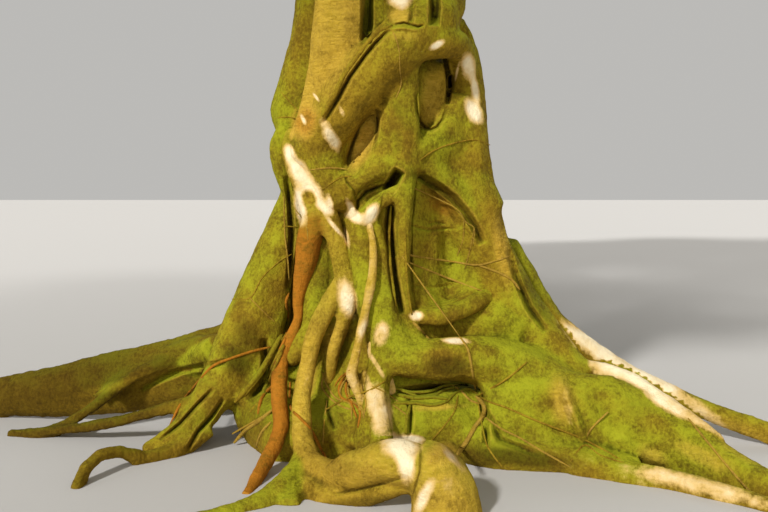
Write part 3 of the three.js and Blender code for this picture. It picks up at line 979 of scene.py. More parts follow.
def depth_in_space(points: Points, mass: Mass, masses: Sequence[Mass]) -> Points:
    """Tell how deep points lie in a mass's own space.

    Args:
        points: Rows of x, y, z.
        mass: The mass.
        masses: All of them.

    Returns:
        A number for each point, under 1 inside the space.
    """
    offset = points - np.array(mass.centre)
    wide, high = mass.ring.wide, mass.ring.high
    depth = np.linalg.norm(offset / np.array((wide, wide, high)), axis=1)
    for other in masses:
        if other is mass:
            continue
        between = np.array(other.centre - mass.centre)
        distance = np.linalg.norm(between)
        depth = np.maximum(depth, offset @ (between / distance) / (distance / 2 - CELL_MARGIN))
    return depth


def spread_directions(count: int, random: SeededRandom) -> list[Vector]:
    """Spread directions evenly over a ball with a seeded stray, by the solids' rule.

    Args:
        count: How many.
        random: The source of the strays.

    Returns:
        The directions.
    """
    golden = math.pi * (3 - math.sqrt(5))
    first = random() * 2 * math.pi
    directions = []
    for i in range(count):
        rise = 1 - 2 * (i + 0.5) / count
        around = math.sqrt(1 - rise * rise)
        turn = first + golden * i + DIRECTION_JITTER * (random() - 0.5)
        directions.append(Vector((around * math.cos(turn), around * math.sin(turn), rise)))
    return directions


@dataclass(frozen=True)
class Tint:
    """How a root's bark differs from plain mossy bark."""

    pale: float = 0.0
    tan: float = 0.0
    red: float = 0.0
    moss: float = 0.5
    # painted shade: how far the bark is darkened
    shade: float = 0.0
    # how far the bark is spared the painted crease shade, which makes it lighter
    lit: float = 0.0


# The shade values give the left roots' undersides and other sheltered parts painted shade
TINTS = {
    "diagonal_strand": Tint(moss=0.25),
    "right_strand": Tint(moss=0.3),
    "right_plank": Tint(moss=0.5),
    "tan_strand": Tint(tan=0.75, moss=0.0),
    "tan_body": Tint(tan=0.75, moss=0.0),
    "front_strand": Tint(moss=0.5),
    "cross_root": Tint(moss=0.4),
    "rear_right_root": Tint(tan=0.1, moss=0.35),
    "rear_shoulder": Tint(moss=0.6),
    "left_leg": Tint(moss=0.3),
    "left_buttress": Tint(moss=0.0, shade=0.6),
    "left_wall": Tint(moss=0.75, shade=0.1),
    "left_wall_ridge": Tint(moss=0.1, shade=0.6),
    "left_branch_root": Tint(moss=0.1, shade=0.75),
    "left_low_root": Tint(moss=0.1, shade=0.85),
    "arch_root": Tint(moss=0.15, shade=0.5),
    "front_right_root": Tint(pale=0.25, moss=0.2),
    "window_column": Tint(tan=0.15, moss=0.1),
    "centre_piece": Tint(moss=0.2),
    "forked_strand": Tint(tan=0.3, moss=0.1),
    "right_leg": Tint(tan=0.3, moss=0.15),
    "second_strand": Tint(tan=0.4, moss=0.15),
    "loop_root": Tint(tan=0.5, moss=0.1),
    "knee_root": Tint(tan=0.45, moss=0.12),
    "knee_lobe": Tint(tan=0.5, moss=0.12),
    "knee_low": Tint(tan=0.35, moss=0.15, shade=0.2),
    "knee_foot": Tint(moss=0.6),
    "left_foot": Tint(moss=0.3, shade=0.2),
    "red_root": Tint(red=1.0, moss=0.0, shade=0.1),
    "thin_strand": Tint(pale=0.4, tan=0.7, moss=0.0),
    "pale_ribbon": Tint(pale=0.42, tan=0.4, moss=0.0),
    "pale_ribbon_low": Tint(pale=0.42, tan=0.4, moss=0.0),
    "rear_strand": Tint(pale=0.6, moss=0.1),
    "leg_toe": Tint(moss=0.15, shade=0.5),
    "bridge": Tint(tan=0.15, moss=0.35),
}
PLAIN_TINT = Tint(moss=0.45)


@dataclass(frozen=True)
class Spot:
    """A patch that sets a tint of the bark to a strength, where the reference view shows it.

    Its place and its half sizes are in pixels of that view. Its upright axis leans by turn degrees, with the
    foot to the right.
    """

    column: float
    row: float
    half_width: float
    half_height: float
    turn: float = 0.0
    strength: float = 1.0

    def inside(self, pixels: Points) -> Points:
        """Tell how far pixels lie inside the patch.

        Args:
            pixels: Rows of column and row.

        Returns:
            1 inside and 0 outside, with a soft border.
        """
        turn = math.radians(self.turn)
        offset = pixels - np.array((self.column, self.row))
        across = (offset[:, 0] * math.cos(turn) - offset[:, 1] * math.sin(turn)) / self.half_width
        down = (offset[:, 0] * math.sin(turn) + offset[:, 1] * math.cos(turn)) / self.half_height
        return np.clip(SPOT_REACH - np.hypot(across, down), 0, 1)


# For each kind of tint, the numbers of its spots in the order of their fields
SPOTS = {
    # Some tan spots, in the two windows, on the knee's lobe and on the plank, are partly painted light
    "tan": (
        (336, 40, 24, 60, -8, 0.6), (305, 122, 12, 18, -15, 1.0), (400, 15, 13, 9, 0, 0.7),
        (404, 36, 20, 6, 0, 0.4), (432, 96, 11, 30, 0, 0.55), (363, 142, 10, 30, -25, 0.95),
        (332, 340, 8, 20, -15, 0.7), (438, 407, 28, 4, 3, 0.6), (502, 248, 8, 36, 10, 0.65),
        (442, 455, 14, 11, 30, 0.95), (562, 400, 12, 26, 8, 0.6), (700, 455, 34, 10, -25, 0.5),
        (652, 455, 16, 9, -20, 0.5), (740, 440, 44, 14, -33, 0.6), (120, 355, 130, 12, 16, 0.15),
        (40, 378, 70, 14, 15, 0.2), (306, 385, 9, 40, -10, 0.75), (445, 485, 20, 30, -10, 0.6),
        (350, 470, 40, 14, 0, 0.5),
    ),
    "moss": (
        (318, 85, 10, 20, -20, 0.1), (440, 145, 20, 16, 0, 0.75), (375, 155, 14, 14, -40, 0.15),
        (366, 15, 7, 28, 0, 0.8), (438, 56, 16, 6, 20, 0.0), (388, 84, 9, 30, -38, 0.0),
        (363, 142, 9, 26, -25, 0.0), (432, 98, 10, 28, 0, 0.15), (440, 362, 26, 14, 0, 0.1),
        (442, 203, 22, 13, -35, 0.0), (430, 245, 14, 18, 0, 0.2), (502, 250, 8, 38, 10, 0.0),
        (640, 410, 24, 16, -25, 0.2), (500, 330, 24, 14, 0, 0.85), (293, 475, 9, 14, 0, 0.9),
        (120, 353, 130, 10, 16, 0.05), (248, 330, 14, 24, 25, 0.0), (350, 105, 16, 26, -35, 0.05),
    ),
    "red": (
        (305, 122, 12, 18, -15, 0.55), (363, 142, 10, 28, -25, 0.3), (309, 199, 6, 7.5, 20, 0.35),
        (312, 226, 15, 13, 0, 0.5), (442, 206, 16, 9, -35, 0.45), (502, 248, 7, 34, 10, 0.2),
        (628, 368, 14, 6, -32, 0.25),
    ),
    # The lit spots leave out the painted crease shade, so the windows and recesses read lighter
    "lit": (
        (305, 122, 14, 20, -15, 1.0), (432, 96, 14, 34, 0, 1.0), (364, 142, 8, 27, -20, 1.0),
        (436, 235, 26, 44, 0, 0.8), (293, 475, 12, 16, 0, 0.8), (170, 378, 26, 12, 10, 1.0),
        (440, 285, 30, 26, 0, 0.7),
    ),
    # The shade spots are painted shade and painted shadows under overhangs, under roots and in recesses
    "shade": (
        (398, 118, 11, 24, 0, 0.5), (366, 22, 6, 22, 0, 0.6), (435, 12, 5, 16, 0, 0.5),
        (425, 64, 24, 7, 0, 0.45), (392, 82, 6, 26, -38, 0.45), (377, 128, 2, 18, -5, 0.7),
        (352, 146, 2, 22, -22, 0.7), (440, 385, 36, 5, 5, 0.7), (445, 450, 30, 14, 0, 0.5),
        (436, 190, 30, 5, -36, 0.7), (370, 502, 45, 6, 5, 0.7), (640, 410, 22, 14, -25, 0.35),
        (236, 360, 13, 20, 25, 0.9), (322, 275, 8, 30, 0, 0.5), (385, 300, 6, 30, 5, 0.3),
        (342, 468, 22, 12, 0, 0.45), (478, 462, 20, 8, 0, 0.7), (520, 457, 60, 10, -6, 0.9),
        (272, 362, 7, 22, -15, 0.7), (344, 348, 6, 26, -10, 0.7), (330, 420, 16, 20, 0, 0.5),
        (448, 366, 24, 11, 0, 0.9), (50, 386, 100, 28, 15, 0.9), (289, 235, 3, 45, 2, 0.7),
        (534, 298, 9, 36, 28, 0.6), (255, 420, 28, 26, 0, 0.5), (190, 425, 30, 30, 30, 0.4),
        (520, 440, 40, 9, -8, 0.4), (248, 335, 14, 22, 25, 0.7), (210, 392, 14, 20, 20, 0.4),
        (404, 92, 3, 22, 0, 0.4), (400, 150, 10, 8, 0, 0.3), (385, 480, 26, 5, -5, 0.4),
        (350, 68, 5, 38, -25, 0.35), (362, 106, 4, 20, -38, 0.5), (150, 378, 60, 5, 14, 0.4),
    ),
    # The pale spots are partly pale bark and partly painted patches of sunlight
    "pale": (
        (303, 119, 2, 6, 25, 0.9), (316, 97, 1.6, 6, 35, 0.8), (400, -3, 12, 12), (437, 45, 8, 3.5, 30),
        (468, 66, 7, 13, 5), (457, 72, 1.5, 10, -12, 0.8), (475, 88, 4, 15, 10), (474, 111, 8, 14, 25),
        (331, 137, 6.5, 17, 28), (341, 110, 2.5, 7, 25, 0.55), (290, 153, 5.5, 10, 15),
        (299, 172, 8.5, 16, 33), (312, 190, 9, 17, 38), (300, 205, 6, 20, 8), (324, 207, 5, 12, 42),
        (309, 199, 6, 7.5, 20, 0.0), (334, 226, 2.5, 12, 40, 0.9), (330, 203, 3.5, 9, 12),
        (371, 214, 6.5, 12, -28), (355, 217, 10, 6, -25, 0.9), (352, 209, 3.5, 13, 30, 0.9),
        (347, 237, 3, 12, 15, 0.6), (347, 298, 9, 20, 12), (363, 328, 4, 12, -18, 0.8),
        (353, 380, 6, 9, 0, 0.7), (381, 335, 8, 14, -15, 0.72), (376, 364, 3, 17, 31, 0.6),
        (367, 380, 3, 10, 10, 0.5), (373, 400, 4.5, 16, 18, 0.6), (380, 412, 12, 28, 10, 0.75),
        (416, 316, 8, 5), (456, 341, 15, 3.5, -3), (402, 447, 19, 12), (406, 464, 9, 20, 8),
        (409, 439, 13, 3), (424, 497, 7, 18, -26), (452, 458, 4, 20, 40, 0.62), (670, 405, 24, 8, -32),
        (567, 402, 6, 26, 10, 0.45), (700, 486, 62, 8, -15, 0.75), (600, 350, 44, 12, -36),
        (655, 383, 42, 12, -30), (705, 415, 34, 9, -33, 0.6), (160, 338, 50, 5, 14, 0.2),
        (308, 372, 4, 26, -12, 0.38), (452, 488, 12, 22, -15, 0.36),
    ),
}


@dataclass(frozen=True)
class Form:
    """A swelling, web or fold of wood that is fused with the rest, where the reference view shows it.

    Each row holds a column and a row of that view, the depth of the form's middle in metres, and its radius
    in pixels.
    """

    name: str
    rows: tuple[Row, ...]


FORMS = (
    Form("arch", (
        (412, 45, 4.42, 18), (435, 42, 4.40, 17), (452, 44, 4.48, 15), (463, 56, 4.62, 13),
        (466, 80, 4.72, 12),
    )),
    Form("tan_body", (
        (338, -14, 4.47, 22), (335, 30, 4.48, 23), (328, 68, 4.51, 20), (317, 100, 4.54, 16),
        (306, 124, 4.58, 12), (298, 142, 4.63, 10),
    )),
    Form("collar", ((286, 128, 4.72, 9), (281, 146, 4.71, 12), (282, 165, 4.71, 10), (288, 190, 4.75, 8))),
    Form("window_column", (
        (435, 66, 4.66, 12), (433, 85, 4.655, 13), (431, 105, 4.65, 13), (429, 130, 4.64, 11),
        (428, 145, 4.64, 10),
    )),
    Form("lip_upper", (
        (394, 171, 4.47, 9), (377, 172, 4.46, 8.5), (363, 176, 4.475, 8), (353, 185, 4.49, 7),
        (350, 198, 4.52, 6),
    )),
    Form("right_web_top", (
        (402, 132, 4.52, 16), (412, 144, 4.54, 16), (430, 151, 4.56, 18), (454, 141, 4.65, 18),
        (474, 112, 4.72, 16),
    )),
    Form("right_web_ridge", (
        (410, 156, 4.50, 13), (428, 166, 4.55, 14), (450, 188, 4.62, 16), (470, 216, 4.68, 18),
        (487, 245, 4.74, 19),
    )),
    Form("right_web_face", (
        (428, 150, 4.60, 20), (450, 165, 4.69, 24), (468, 188, 4.72, 25), (484, 215, 4.74, 23),
    )),
    Form("centre_piece", (
        (398, 90, 4.50, 15), (397, 115, 4.47, 19), (399, 140, 4.46, 20), (404, 160, 4.47, 17),
        (405, 180, 4.48, 12),
    )),
    Form("left_web", (
        (396, 138, 4.48, 20), (380, 156, 4.49, 17), (362, 172, 4.50, 14), (346, 184, 4.50, 10),
    )),
    Form("diagonal_end", (
        (328, 138, 4.57, 22), (326, 163, 4.585, 22), (331, 186, 4.59, 20), (340, 206, 4.57, 14),
    )),
    Form("bridge_foot", (
        (366, 215, 4.50, 8), (358, 235, 4.52, 9), (354, 255, 4.53, 9), (352, 275, 4.55, 9),
    )),
    Form("left_thigh", (
        (326, 238, 4.66, 9), (322, 265, 4.68, 13), (318, 300, 4.68, 15), (314, 330, 4.64, 14),
        (302, 348, 4.60, 12), (288, 362, 4.58, 8),
    )),
    Form("left_fill", (
        (283, 270, 4.80, 10), (276, 300, 4.82, 14), (270, 330, 4.82, 14), (262, 360, 4.80, 14),
        (250, 385, 4.76, 12), (238, 400, 4.72, 9),
    )),
    Form("green_knob", (
        (330, 408, 4.50, 8), (340, 418, 4.46, 10), (350, 430, 4.42, 8), (352, 446, 4.36, 7),
    )),
    Form("low_strands", ((402, 402, 4.42, 5), (401, 418, 4.40, 6), (399, 436, 4.37, 7))),
    Form("front_ribbon", (
        (376, 225, 4.47, 6), (381, 255, 4.47, 8), (383, 285, 4.46, 9), (387, 312, 4.45, 12),
        (392, 335, 4.45, 15), (398, 355, 4.45, 17),
    )),
    Form("cavity_lip", (
        (388, 230, 4.54, 3), (393, 262, 4.53, 3.5), (398, 295, 4.52, 5), (404, 320, 4.50, 9),
        (414, 345, 4.48, 14),
    )),
    Form("front_web", ((392, 330, 4.44, 12), (402, 350, 4.44, 18), (420, 362, 4.45, 20))),
    Form("panel_side", (
        (462, 195, 4.82, 20), (468, 235, 4.83, 24), (470, 275, 4.82, 24), (470, 312, 4.79, 24),
    )),
    Form("panel_low", (
        (438, 328, 4.76, 20), (465, 326, 4.76, 24), (495, 322, 4.74, 24), (520, 332, 4.72, 20),
    )),
    Form("bank", (
        (462, 440, 4.48, 20), (490, 450, 4.42, 21), (525, 454, 4.38, 20), (560, 457, 4.35, 18),
        (600, 462, 4.28, 14), (640, 466, 4.22, 9),
    )),
    Form("rear_shoulder", (
        (505, 245, 4.95, 14), (520, 275, 4.98, 16), (538, 305, 5.00, 16), (556, 328, 5.02, 12),
    )),
    Form("behind_slit", ((447, 40, 4.98, 16), (449, 75, 5.00, 20), (452, 110, 5.00, 20))),
    Form("left_wall", (
        (216, 350, 4.90, 14), (190, 362, 5.12, 16), (160, 368, 5.18, 18), (125, 380, 5.20, 16),
        (95, 396, 5.18, 8),
    )),
    Form("left_wall_ridge", (
        (224, 342, 4.88, 9), (200, 346, 5.03, 10), (176, 352, 5.09, 10), (155, 360, 5.12, 9),
        (135, 371, 5.10, 8), (115, 384, 5.08, 6), (95, 398, 5.06, 4),
    )),
    Form("rear_strand", (
        (590, 368, 4.60, 8), (612, 374, 4.55, 9), (632, 382, 4.48, 9), (652, 395, 4.40, 8.5),
        (675, 410, 4.34, 8), (700, 426, 4.26, 7), (722, 441, 4.18, 5),
    )),
    Form("leg_toe", (
        (206, 404, 4.86, 7), (194, 418, 4.84, 6), (182, 432, 4.82, 5), (170, 446, 4.72, 4),
        (160, 458, 4.60, 3),
    )),
)


@dataclass(frozen=True)
class Groove:
    """A crack, dent or fold in the bark's surface, where the reference view shows it.

    The path is in pixels of that view, half is half its width in pixels, and deep is how far it goes in, in
    metres, below 0 for a ridge. A higher edge makes its sides steeper.
    """

    name: str
    path: tuple[Pixel, ...]
    half: float
    deep: float
    edge: float = 2.0


GROOVES = (
    Groove("top_hole", ((367, -20), (367, 20), (366, 44)), 7, 0.10, 4),
    Groove("top_left_crease", ((386, 0), (387, 14), (390, 26)), 4, 0.03),
    Groove("top_right_crease", ((412, 0), (412, 14), (410, 24)), 4, 0.03),
    Groove("top_slot", ((434, -20), (435, 8), (434, 26)), 6.5, 0.10, 4),
    Groove("lip", ((392, 25), (404, 23), (418, 27), (424, 25)), 2.2, 0.025),
    Groove("lip_fold", ((388, 29), (404, 28), (418, 31)), 2.5, -0.012),
    Groove("diagonal_edge", (
        (390, 30), (384, 35), (375, 44), (366, 55), (358, 66), (350, 77), (344, 88), (338, 99), (331, 111),
        (323, 124),
    ), 3.2, 0.05),
    Groove("left_window", ((373, 108), (367, 128), (361, 144), (355, 158), (349, 176)), 11, 0.04, 5),
    Groove("left_window_right", ((376, 108), (378, 122), (377, 136), (373, 148)), 2.4, 0.03),
    Groove("left_window_left", ((372, 110), (360, 126), (353, 142), (349, 158), (348, 174)), 2.6, 0.035),
    Groove("right_window_foot", (
        (418, 84), (416, 98), (417, 112), (420, 122), (425, 128), (431, 130), (437, 127), (443, 119),
        (447, 106),
    ), 2.4, 0.04),
    Groove("right_window_slit", ((445, 60), (448, 75), (449, 90), (447, 104)), 3.2, 0.12, 4),
    Groove("mouth", ((400, 170), (394, 180), (387, 192)), 7, 0.17, 3),
    Groove("mouth_fold_1", ((390, 184), (378, 187), (366, 192), (358, 201), (357, 214)), 2.6, 0.04),
    Groove("mouth_fold_2", ((386, 178), (372, 182), (361, 189), (354, 200)), 1.8, 0.018),
    Groove("mouth_fold_3", ((344, 172), (347, 182), (354, 190), (358, 204)), 2.2, 0.02),
    Groove("cavity", (
        (391, 202), (389, 225), (391, 250), (393, 275), (397, 296), (401, 314),
    ), 5.5, 0.09, 3),
    Groove("under_web", (
        (414, 172), (426, 180), (440, 188), (453, 198), (465, 212), (475, 227), (483, 244),
    ), 6, 0.07, 2),
    Groove("pillar_right", (
        (415, 172), (414, 200), (411, 225), (411, 260), (412, 290), (417, 312),
    ), 2.5, 0.02),
    Groove("panel_top", ((424, 184), (438, 196), (452, 212), (462, 228)), 14, 0.03),
    Groove("knob_side", ((326, 398), (330, 416), (335, 430)), 3, 0.025),
    Groove("low_mass_side", ((408, 396), (411, 415), (410, 436)), 3.5, 0.03),
    Groove("leg_gap", ((286, 176), (290, 205), (292, 235), (290, 262), (288, 290)), 4, 0.06),
    Groove("left_under_ridge", ((226, 362), (205, 366), (180, 371), (160, 379), (140, 390)), 5, 0.05),
    Groove("toe_gap_1", ((214, 388), (198, 404), (180, 424), (160, 440)), 3.2, 0.04),
    Groove("toe_gap_2", ((224, 398), (212, 416), (198, 432), (186, 452)), 3.6, 0.05),
    Groove("leg_foot_gap", ((264, 338), (266, 360), (262, 385), (250, 402)), 6, 0.06),
    Groove("plank_foot", ((478, 396), (500, 440), (540, 455)), 5, 0.03),
    Groove("panel_crack_1", ((410, 225), (418, 228), (428, 230), (440, 229), (456, 228)), 2, 0.016),
    Groove("panel_crack_2", ((428, 224), (437, 222), (446, 224)), 1.8, 0.014),
    Groove("panel_crack_3", ((412, 285), (432, 288), (456, 284)), 2.5, 0.008),
    Groove("under_cross", ((397, 392), (418, 391), (440, 388), (462, 381), (478, 386)), 7, 0.07),
    Groove("right_of_low_mass", ((483, 396), (486, 420), (486, 445)), 5, 0.05),
    Groove("plank_dip_1", ((540, 385), (552, 410), (560, 440)), 12, 0.02),
    Groove("plank_ridge_1", ((560, 374), (568, 400), (578, 425), (585, 442)), 7, -0.03),
    Groove("plank_dip_2", ((590, 385), (605, 410), (615, 440)), 14, 0.02),
    Groove("plank_ridge_2", ((602, 432), (625, 445), (650, 458), (672, 466)), 10, -0.02),
    Groove("cross_root_dip", ((432, 358), (452, 364), (470, 360)), 10, 0.015),
    Groove("shoulder_crease", ((508, 250), (517, 280), (529, 308), (546, 332)), 5, 0.05),
)


FRONT_GROOVES = (
    Groove("knee_crease", ((419, 434), (421, 452), (420, 472), (414, 492), (407, 512)), 2.2, 0.02),
    Groove("knee_under", ((334, 494), (362, 489), (385, 483), (408, 476)), 3, 0.018),
    Groove("knee_dent", ((355, 462), (385, 452)), 12, 0.012),
    Groove("fork_scar", ((306, 190), (309, 200)), 4, 0.012),
)


@dataclass(frozen=True)
class Trace:
    """A small root or vine on the bark, where the reference view shows it.

    The path is in pixels of that view, and radius too. A taut one runs straight between its ends.
    """

    path: tuple[Pixel, ...]
    radius: float
    taut: bool = False


TRACES = {
    "mossy": (
        Trace((
            (392, 25), (381, 30), (371, 39), (362, 50), (354, 61), (346, 72), (340, 83), (335, 94),
            (329, 104), (322, 116),
        ), 2.7),
        Trace(((289, 298), (286, 325), (276, 345), (264, 366), (250, 385), (235, 402)), 3.0),
        Trace(((286, 335), (272, 357), (258, 378), (244, 396)), 2.4),
        Trace(((284, 345), (276, 360), (268, 380), (262, 398)), 2.4),
        Trace(((282, 352), (272, 374), (266, 392), (250, 412)), 1.8),
        Trace(((391, 206), (389, 240), (391, 270), (396, 306)), 1.5),
        Trace(((405, 232), (406, 260), (408, 290), (412, 315)), 1.3),
        Trace(((395, 388), (410, 392), (430, 391), (444, 386), (458, 384)), 1.7),
        Trace(((410, 405), (407, 418), (406, 434)), 2.0),
        Trace(((394, 403), (415, 403), (432, 405), (446, 402)), 2.0),
        Trace(((396, 394), (415, 398), (432, 397), (448, 399)), 2.2),
        Trace(((402, 391), (428, 398), (444, 390), (460, 386)), 1.6),
        Trace(((446, 403), (455, 393), (468, 389), (478, 394)), 1.6),
    ),
    "tan": (
        Trace(((372, 386), (384, 392), (399, 402)), 0.8),
        Trace(((348, 378), (344, 382), (340, 392), (344, 402)), 1.2),
        Trace(((349, 384), (348, 390), (352, 400), (361, 407), (364, 418)), 1.3),
        Trace(((361, 384), (362, 390), (366, 402), (364, 415)), 1.2),
        Trace(((325, 372), (322, 386), (330, 398), (341, 406), (352, 410)), 1.0),
        Trace(((452, 385), (462, 392), (470, 400), (480, 404)), 1.2),
        Trace(((391, 27), (398, 45), (400, 70), (401, 85), (396, 98)), 0.7),
        Trace(((409, 186), (425, 193), (440, 200), (458, 210), (466, 222), (474, 228), (473, 246)), 0.6),
        Trace(((464, 218), (463, 240), (457, 256)), 0.6),
        Trace(((474, 228), (470, 250), (465, 268)), 0.6),
        Trace(((402, 256), (460, 337)), 0.85, True),
        Trace(((413, 322), (421, 331), (430, 341)), 1.9),
        Trace(((460, 337), (468, 350), (472, 370), (476, 392)), 1.3),
        Trace(((404, 254), (420, 257), (455, 262), (478, 265), (495, 261), (510, 256)), 1.1),
        Trace(((478, 265), (497, 272), (512, 280), (520, 290)), 1.3),
        Trace(((408, 262), (440, 275), (482, 291)), 1.1),
        Trace(((485, 417), (500, 428), (520, 438), (540, 450), (570, 467)), 1.0),
        Trace(((476, 396), (484, 406), (483, 416), (475, 427), (467, 441), (457, 455)), 2.4),
        Trace(((392, 404), (400, 410), (408, 416)), 0.8),
        Trace(((322, 372), (327, 385), (336, 398), (350, 404), (352, 420)), 1.0),
        Trace(((327, 400), (324, 425), (323, 445)), 0.8),
        Trace(((284, 196), (285, 235), (288, 262), (289, 280)), 0.8),
        Trace(((250, 298), (262, 310), (275, 322)), 0.7),
        Trace(((272, 410), (258, 422), (246, 430), (234, 443)), 2.0),
        Trace(((271, 422), (262, 432), (256, 447)), 1.5),
        Trace(((268, 414), (250, 424), (232, 434)), 1.2),
        Trace(((310, 170), (330, 168), (347, 169)), 0.9),
        Trace(((292, 205), (306, 225), (308, 240)), 0.5),
        Trace(((688, 418), (710, 445), (735, 475), (765, 508)), 1.2),
        Trace(((583, 442), (592, 428), (608, 412)), 1.1),
    ),
    "red": (
        Trace(((350, 370), (340, 378), (335, 386)), 0.9),
        Trace(((346, 374), (339, 388), (342, 398), (354, 403), (360, 412), (358, 428)), 1.4),
        Trace(((347, 380), (346, 392), (352, 405), (357, 418)), 1.2),
        Trace(((290, 382), (291, 408), (300, 418), (311, 430), (320, 447), (328, 463)), 1.5),
        Trace(((270, 347), (250, 352), (232, 358), (213, 366), (200, 380), (182, 402), (170, 425)), 1.4),
        Trace(((289, 293), (286, 302), (288, 320), (286, 336), (279, 352)), 1.6),
        Trace(((272, 386), (262, 398), (258, 414)), 1.8),
    ),
    "dark": (
        Trace(((420, 160), (435, 150), (455, 143), (475, 140), (490, 145)), 0.8),
        Trace(((478, 396), (505, 380), (527, 362)), 1.3),
        Trace(((478, 396), (490, 402), (505, 407), (535, 420), (585, 440), (625, 462)), 1.1),
        Trace(((478, 400), (482, 425), (487, 445), (495, 458), (503, 468)), 0.9),
        Trace(((458, 395), (455, 410), (445, 425), (432, 440)), 0.8),
        Trace(((325, 410), (350, 397), (370, 390), (385, 381)), 1.0),
        Trace(((232, 299), (250, 298), (262, 278), (280, 261), (292, 254)), 0.7),
        Trace(((322, 190), (340, 178), (352, 176)), 0.7),
        Trace(((282, 226), (298, 227)), 0.7),
        Trace(((570, 462), (585, 445), (600, 455), (625, 463)), 0.9),
        Trace(((276, 118), (288, 117), (300, 119)), 0.7),
        Trace(((281, 92), (292, 104), (300, 112)), 0.6),
    ),
}

FRONT_NODES = ("forked_strand", "loop_root", "knee_root", "red_root", "thin_strand", "front_left_root")
FRONT_ROOTS = (
    Form("forked_strand", (
        (294, 132, 4.68, 8), (291, 146, 4.65, 9.5), (295, 162, 4.62, 11), (304, 182, 4.60, 12.5),
        (313, 201, 4.60, 15), (320, 218, 4.59, 17),
    )),
    Form("right_leg", (
        (322, 210, 4.58, 13), (335, 236, 4.54, 10.5), (341, 260, 4.51, 10.5), (346, 280, 4.49, 11),
    )),
    Form("second_strand", (
        (345, 272, 4.49, 10), (348, 290, 4.48, 10.5), (348, 305, 4.48, 9), (344, 320, 4.49, 7.5),
        (339, 335, 4.50, 6.8), (334, 350, 4.51, 6.2), (331, 366, 4.53, 5), (329, 382, 4.57, 3),
    )),
    Form("loop_root", (
        (342, 278, 4.51, 7), (332, 298, 4.50, 8.5), (321, 320, 4.49, 9), (312, 342, 4.48, 9),
        (308, 362, 4.46, 8.3), (304, 382, 4.41, 8.8), (301, 403, 4.34, 9.8), (302, 425, 4.27, 10.5),
        (304, 445, 4.20, 11), (311, 462, 4.11, 12), (328, 473, 4.01, 14),
    )),
    Form("knee_root", (
        (316, 468, 4.07, 12), (334, 474, 3.98, 15), (350, 471, 3.90, 18), (370, 466, 3.85, 20),
        (395, 461, 3.80, 23), (412, 466, 3.79, 23), (424, 480, 3.80, 20),
    )),
    Form("knee_lobe", (
        (417, 459, 3.77, 23), (432, 471, 3.74, 30), (443, 491, 3.74, 34), (446, 514, 3.74, 36),
        (446, 545, 3.74, 36),
    )),
    Form("knee_low", (
        (300, 486, 4.02, 12), (325, 496, 3.93, 12), (360, 496, 3.87, 11), (392, 489, 3.80, 9.5),
        (408, 484, 3.78, 8),
    )),
    Form("knee_foot", (
        (306, 450, 4.18, 9), (298, 472, 4.10, 12), (293, 490, 4.00, 14), (288, 510, 3.86, 14),
    )),
    Form("left_foot", (
        (302, 466, 4.12, 12), (292, 482, 4.04, 15), (278, 496, 3.95, 16), (260, 506, 3.87, 14),
        (240, 513, 3.81, 12), (215, 519, 3.75, 10), (170, 527, 3.69, 9),
    )),
    Form("red_root", (
        (318, 214, 4.57, 12), (310, 236, 4.60, 12.5), (307, 260, 4.62, 11), (301, 282, 4.65, 8.5),
        (298, 303, 4.66, 6.0), (298, 318, 4.65, 5.2), (292, 336, 4.62, 5.8), (284, 354, 4.58, 7),
        (280, 374, 4.53, 8.8), (279, 400, 4.47, 9.3), (281, 422, 4.42, 9.2), (276, 442, 4.36, 8.6),
        (267, 460, 4.28, 8), (257, 478, 4.16, 7.6), (246, 498, 3.99, 6.4),
    )),
    Form("thin_strand", (
        (369, 222, 4.45, 3.5), (373, 246, 4.41, 4.2), (373, 268, 4.39, 4.8), (370, 288, 4.38, 4.6),
        (367, 305, 4.375, 4.2), (362, 325, 4.37, 4.6), (358, 345, 4.37, 4.6), (354, 362, 4.37, 5.4),
        (352, 375, 4.37, 6.6), (357, 390, 4.36, 5.2), (361, 403, 4.35, 3.6), (362, 420, 4.35, 2.4),
    )),
    Form("front_pillar", (
        (379, 312, 4.46, 6), (380, 335, 4.43, 9), (380, 360, 4.43, 9), (378, 385, 4.40, 9),
        (378, 405, 4.35, 9), (380, 425, 4.29, 11), (382, 445, 4.22, 13),
    )),
    Form("pale_ribbon", (
        (370, 342, 4.42, 4), (373, 354, 4.41, 6), (379, 366, 4.405, 7), (387, 380, 4.405, 7),
        (392, 393, 4.42, 5),
    )),
    Form("pale_ribbon_low", (
        (364, 370, 4.42, 4), (367, 386, 4.395, 6), (372, 402, 4.36, 7), (377, 420, 4.31, 8),
    )),
    Form("bridge", (
        (402, 189, 4.48, 6), (389, 196, 4.46, 7), (376, 204, 4.46, 8), (367, 215, 4.46, 8.5),
        (362, 230, 4.48, 8),
    )),
    Form("small_bridge", (
        (405, 313, 4.54, 6), (419, 317, 4.52, 8), (440, 316, 4.52, 9), (460, 310, 4.57, 9),
        (478, 301, 4.66, 9.5), (494, 291, 4.80, 9), (508, 284, 4.96, 8),
    )),
)


